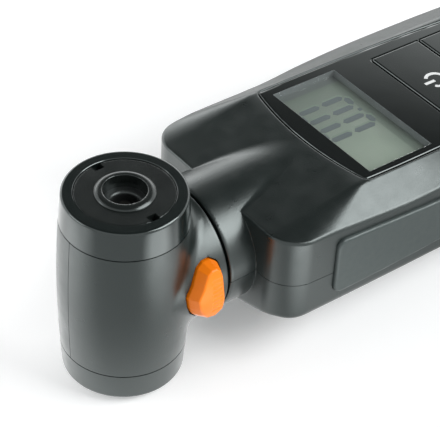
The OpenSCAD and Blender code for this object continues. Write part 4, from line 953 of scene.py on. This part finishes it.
def power_mark(middle):
    """A plain on and off mark: an open ring and a bar, printed flat on the key."""
    t = np.linspace(math.radians(-140), math.radians(140), 40)
    outer = np.stack([middle + 2.6 * np.cos(t), 2.6 * np.sin(t)], 1)
    inner = np.stack([middle + 1.85 * np.cos(t), 1.85 * np.sin(t)], 1)[::-1]
    ring = np.concatenate([outer, inner])
    bar = rectangle(2.7, 0.75, 0.1, middle - 3.2)
    return [slab(line, [(0, KEY_PROUD), (0, KEY_PROUD + 0.015)]) for line in (ring, bar)]


mark = build("key_mark", *joined(power_mark(KEY_AT + KEY_L / 2)), angle=30)
dress(mark, "key_print", "power_push", slot="panel_plastic")

# ---- floor, light and camera ----

def floor_plane():
    """A wide floor through the barrel's rim and the handle's belly. The camera sees it at full brightness with the
    gauge's shadow, which a painted shadow deepens near the neck, and painted light brightens it on the barrel's far
    side; its colour is paler to the camera than to other rays. To the gauge it glows as painted light, though it is no
    lamp, as
    pale boards laid round it would: a level that runs along the handle, plus spots that fade with their distance, with
    places and radii in metres."""
    tilt = math.atan2(BELLY_Z, TAIL_X - 8 - RIM_R)
    made = build("floor", [(-1500, -1500, 0), (1500, -1500, 0), (1500, 1500, 0), (-1500, 1500, 0)], [(0, 1, 2, 3)])
    made.data.transform(Matrix.Translation((RIM_R / 1000, 0, 0)) @ Matrix.Rotation(-tilt, 4, "Y"))
    finish = Finish("studio_floor", 0.9, specular=0.0)
    x, y = finish.along("X"), finish.along("Y")
    front, back = finish.spread(x, 0.14, 0.26, -0.006, 0.012), finish.spread(x, 1.1, 0.3, 0.0, 0.080)

    def spot(total, level, where, near, far):
        """Adds a level that fades out between two distances from a place."""
        away = finish.against("DISTANCE", (*where, 0))
        return finish.combined("ADD", total, finish.spread(away, level, 0.0, near, far))

    # Painted light: for all rays but the camera's the floor glows, though it is no lamp, to light the gauge: a level
    # that changes along and across the handle, plus four fading spots.
    floor_glow_light = finish.spread(y, front, back, -0.012, 0.015)
    for level, where, near, far in ((2.4, (0.021, -0.065), 0.014, 0.032), (0.75, (0, 0), 0.016, 0.034),
                                    (0.35, (0.042, -0.027), 0.010, 0.026), (0.6, (-0.052, 0.035), 0.010, 0.026)):
        floor_glow_light = spot(floor_glow_light, level, where, near, far)
    # Painted shadow: the floor's glow to the camera drops to a low level near the neck, deepening the gauge's shadow
    # there.
    camera_glow_with_painted_shade = finish.spread(finish.against("DISTANCE", (0.026, -0.003, 0)), 0.04, 0.19, 0.005, 0.016)
    # Painted light: a spot on the barrel's far side brightens the floor's glow to the camera.
    camera_glow_with_painted_shade = spot(camera_glow_with_painted_shade, 0.28, (-0.002, 0.026), 0.014, 0.036)
    finish.shader.inputs["Emission Color"].default_value = (1, 1, 1, 1)
    finish.links.new(finish.seen(floor_glow_light, camera_glow_with_painted_shade), finish.shader.inputs["Emission Strength"])
    finish.colour(finish.blend(finish.seen(0, 1), (0.55, 0.56, 0.56), (0.93, 0.94, 0.945)))
    made.data.materials.append(finish.material)


floor_plane()


def posed(columns, place):
    """The matrix of an object whose own X, Y and Z run along three directions."""
    return Matrix([[*(column[k] for column in columns), place[k]] for k in range(3)] + [[0, 0, 0, 1]])


def soft_box(name, way, distance, width, height, power):
    """A rectangular lamp in that direction from the gauge's middle, facing it; sizes in metres."""
    lamp = bpy.data.lights.new(name, "AREA")
    lamp.shape, lamp.size, lamp.size_y, lamp.energy = "RECTANGLE", width, height, power
    made = bpy.data.objects.new(name, lamp)
    z = np.array(way) / np.linalg.norm(way)
    x = np.cross((0, 0, 1), z)
    x /= np.linalg.norm(x)
    made.matrix_world = posed((x, np.cross(z, x), z), np.array((0.035, 0.0, 0.02)) + distance * z)
    bpy.context.scene.collection.objects.link(made)


soft_box("box_front", (0.525, -0.587, 0.616), 1.6, 1.12, 1.10, 23.0)
soft_box("box_left", (-0.80, 0.45, 0.35), 0.8, 0.4, 0.3, 0.9)


def studio_sky():
    """The room's light: a wide pale wall, lighter behind the gauge, that ends overhead, and a bright strip low
    behind it, all with eased edges."""
    world = bpy.data.worlds.new("studio")
    world.use_nodes = True
    bpy.context.scene.world = world
    sky = Pattern(world.node_tree, "Generated")
    ways = (0.5, 0.866, 0.0), (0, 0, 1), (0.134, 0.159, 0.978)
    behind, up, over = (sky.against("DOT_PRODUCT", way) for way in ways)
    wall = sky.spread(behind, 0.85, 1.4, -0.2, 0.6, smooth=True)
    room = sky.spread(over, wall, 0.09, 0.662, 0.728, smooth=True)
    strip = sky.spread(behind, 0.0, 1.8, 0.72, 0.86, smooth=True)
    for low, high, start, end in ((1.0, 0.0, 0.30, 0.40), (0.0, 1.0, 0.08, 0.16)):
        strip = sky.combined("MULTIPLY", strip, sky.spread(up, low, high, start, end, smooth=True))
    level = sky.seen(sky.combined("ADD", room, strip), 1.0)
    sky.links.new(level, sky.nodes["Background"].inputs["Strength"])
    sky.nodes["Background"].inputs["Color"].default_value = (1, 1, 1, 1)


studio_sky()

camera_data = bpy.data.cameras.new("camera")
camera_data.sensor_width = 36.0
camera_data.lens = 36.0 * 1888.125 / 440
camera_data.clip_start, camera_data.clip_end = 0.02, 20
camera = bpy.data.objects.new("camera", camera_data)
right = (0.7882078949, -0.6138812733, 0.0433370135)
down = (-0.3756676597, -0.5357329069, -0.7562169411)
ahead = (0.4874448829, 0.5797758488, -0.6528842480)
eye = (-0.15721166, -0.21449146, 0.26713101)
camera.matrix_world = posed((right, np.negative(down), np.negative(ahead)), eye)
bpy.context.scene.collection.objects.link(camera)
bpy.context.scene.camera = camera

bpy.context.scene.view_settings.view_transform = "Standard"

bpy.context.view_layer.update()
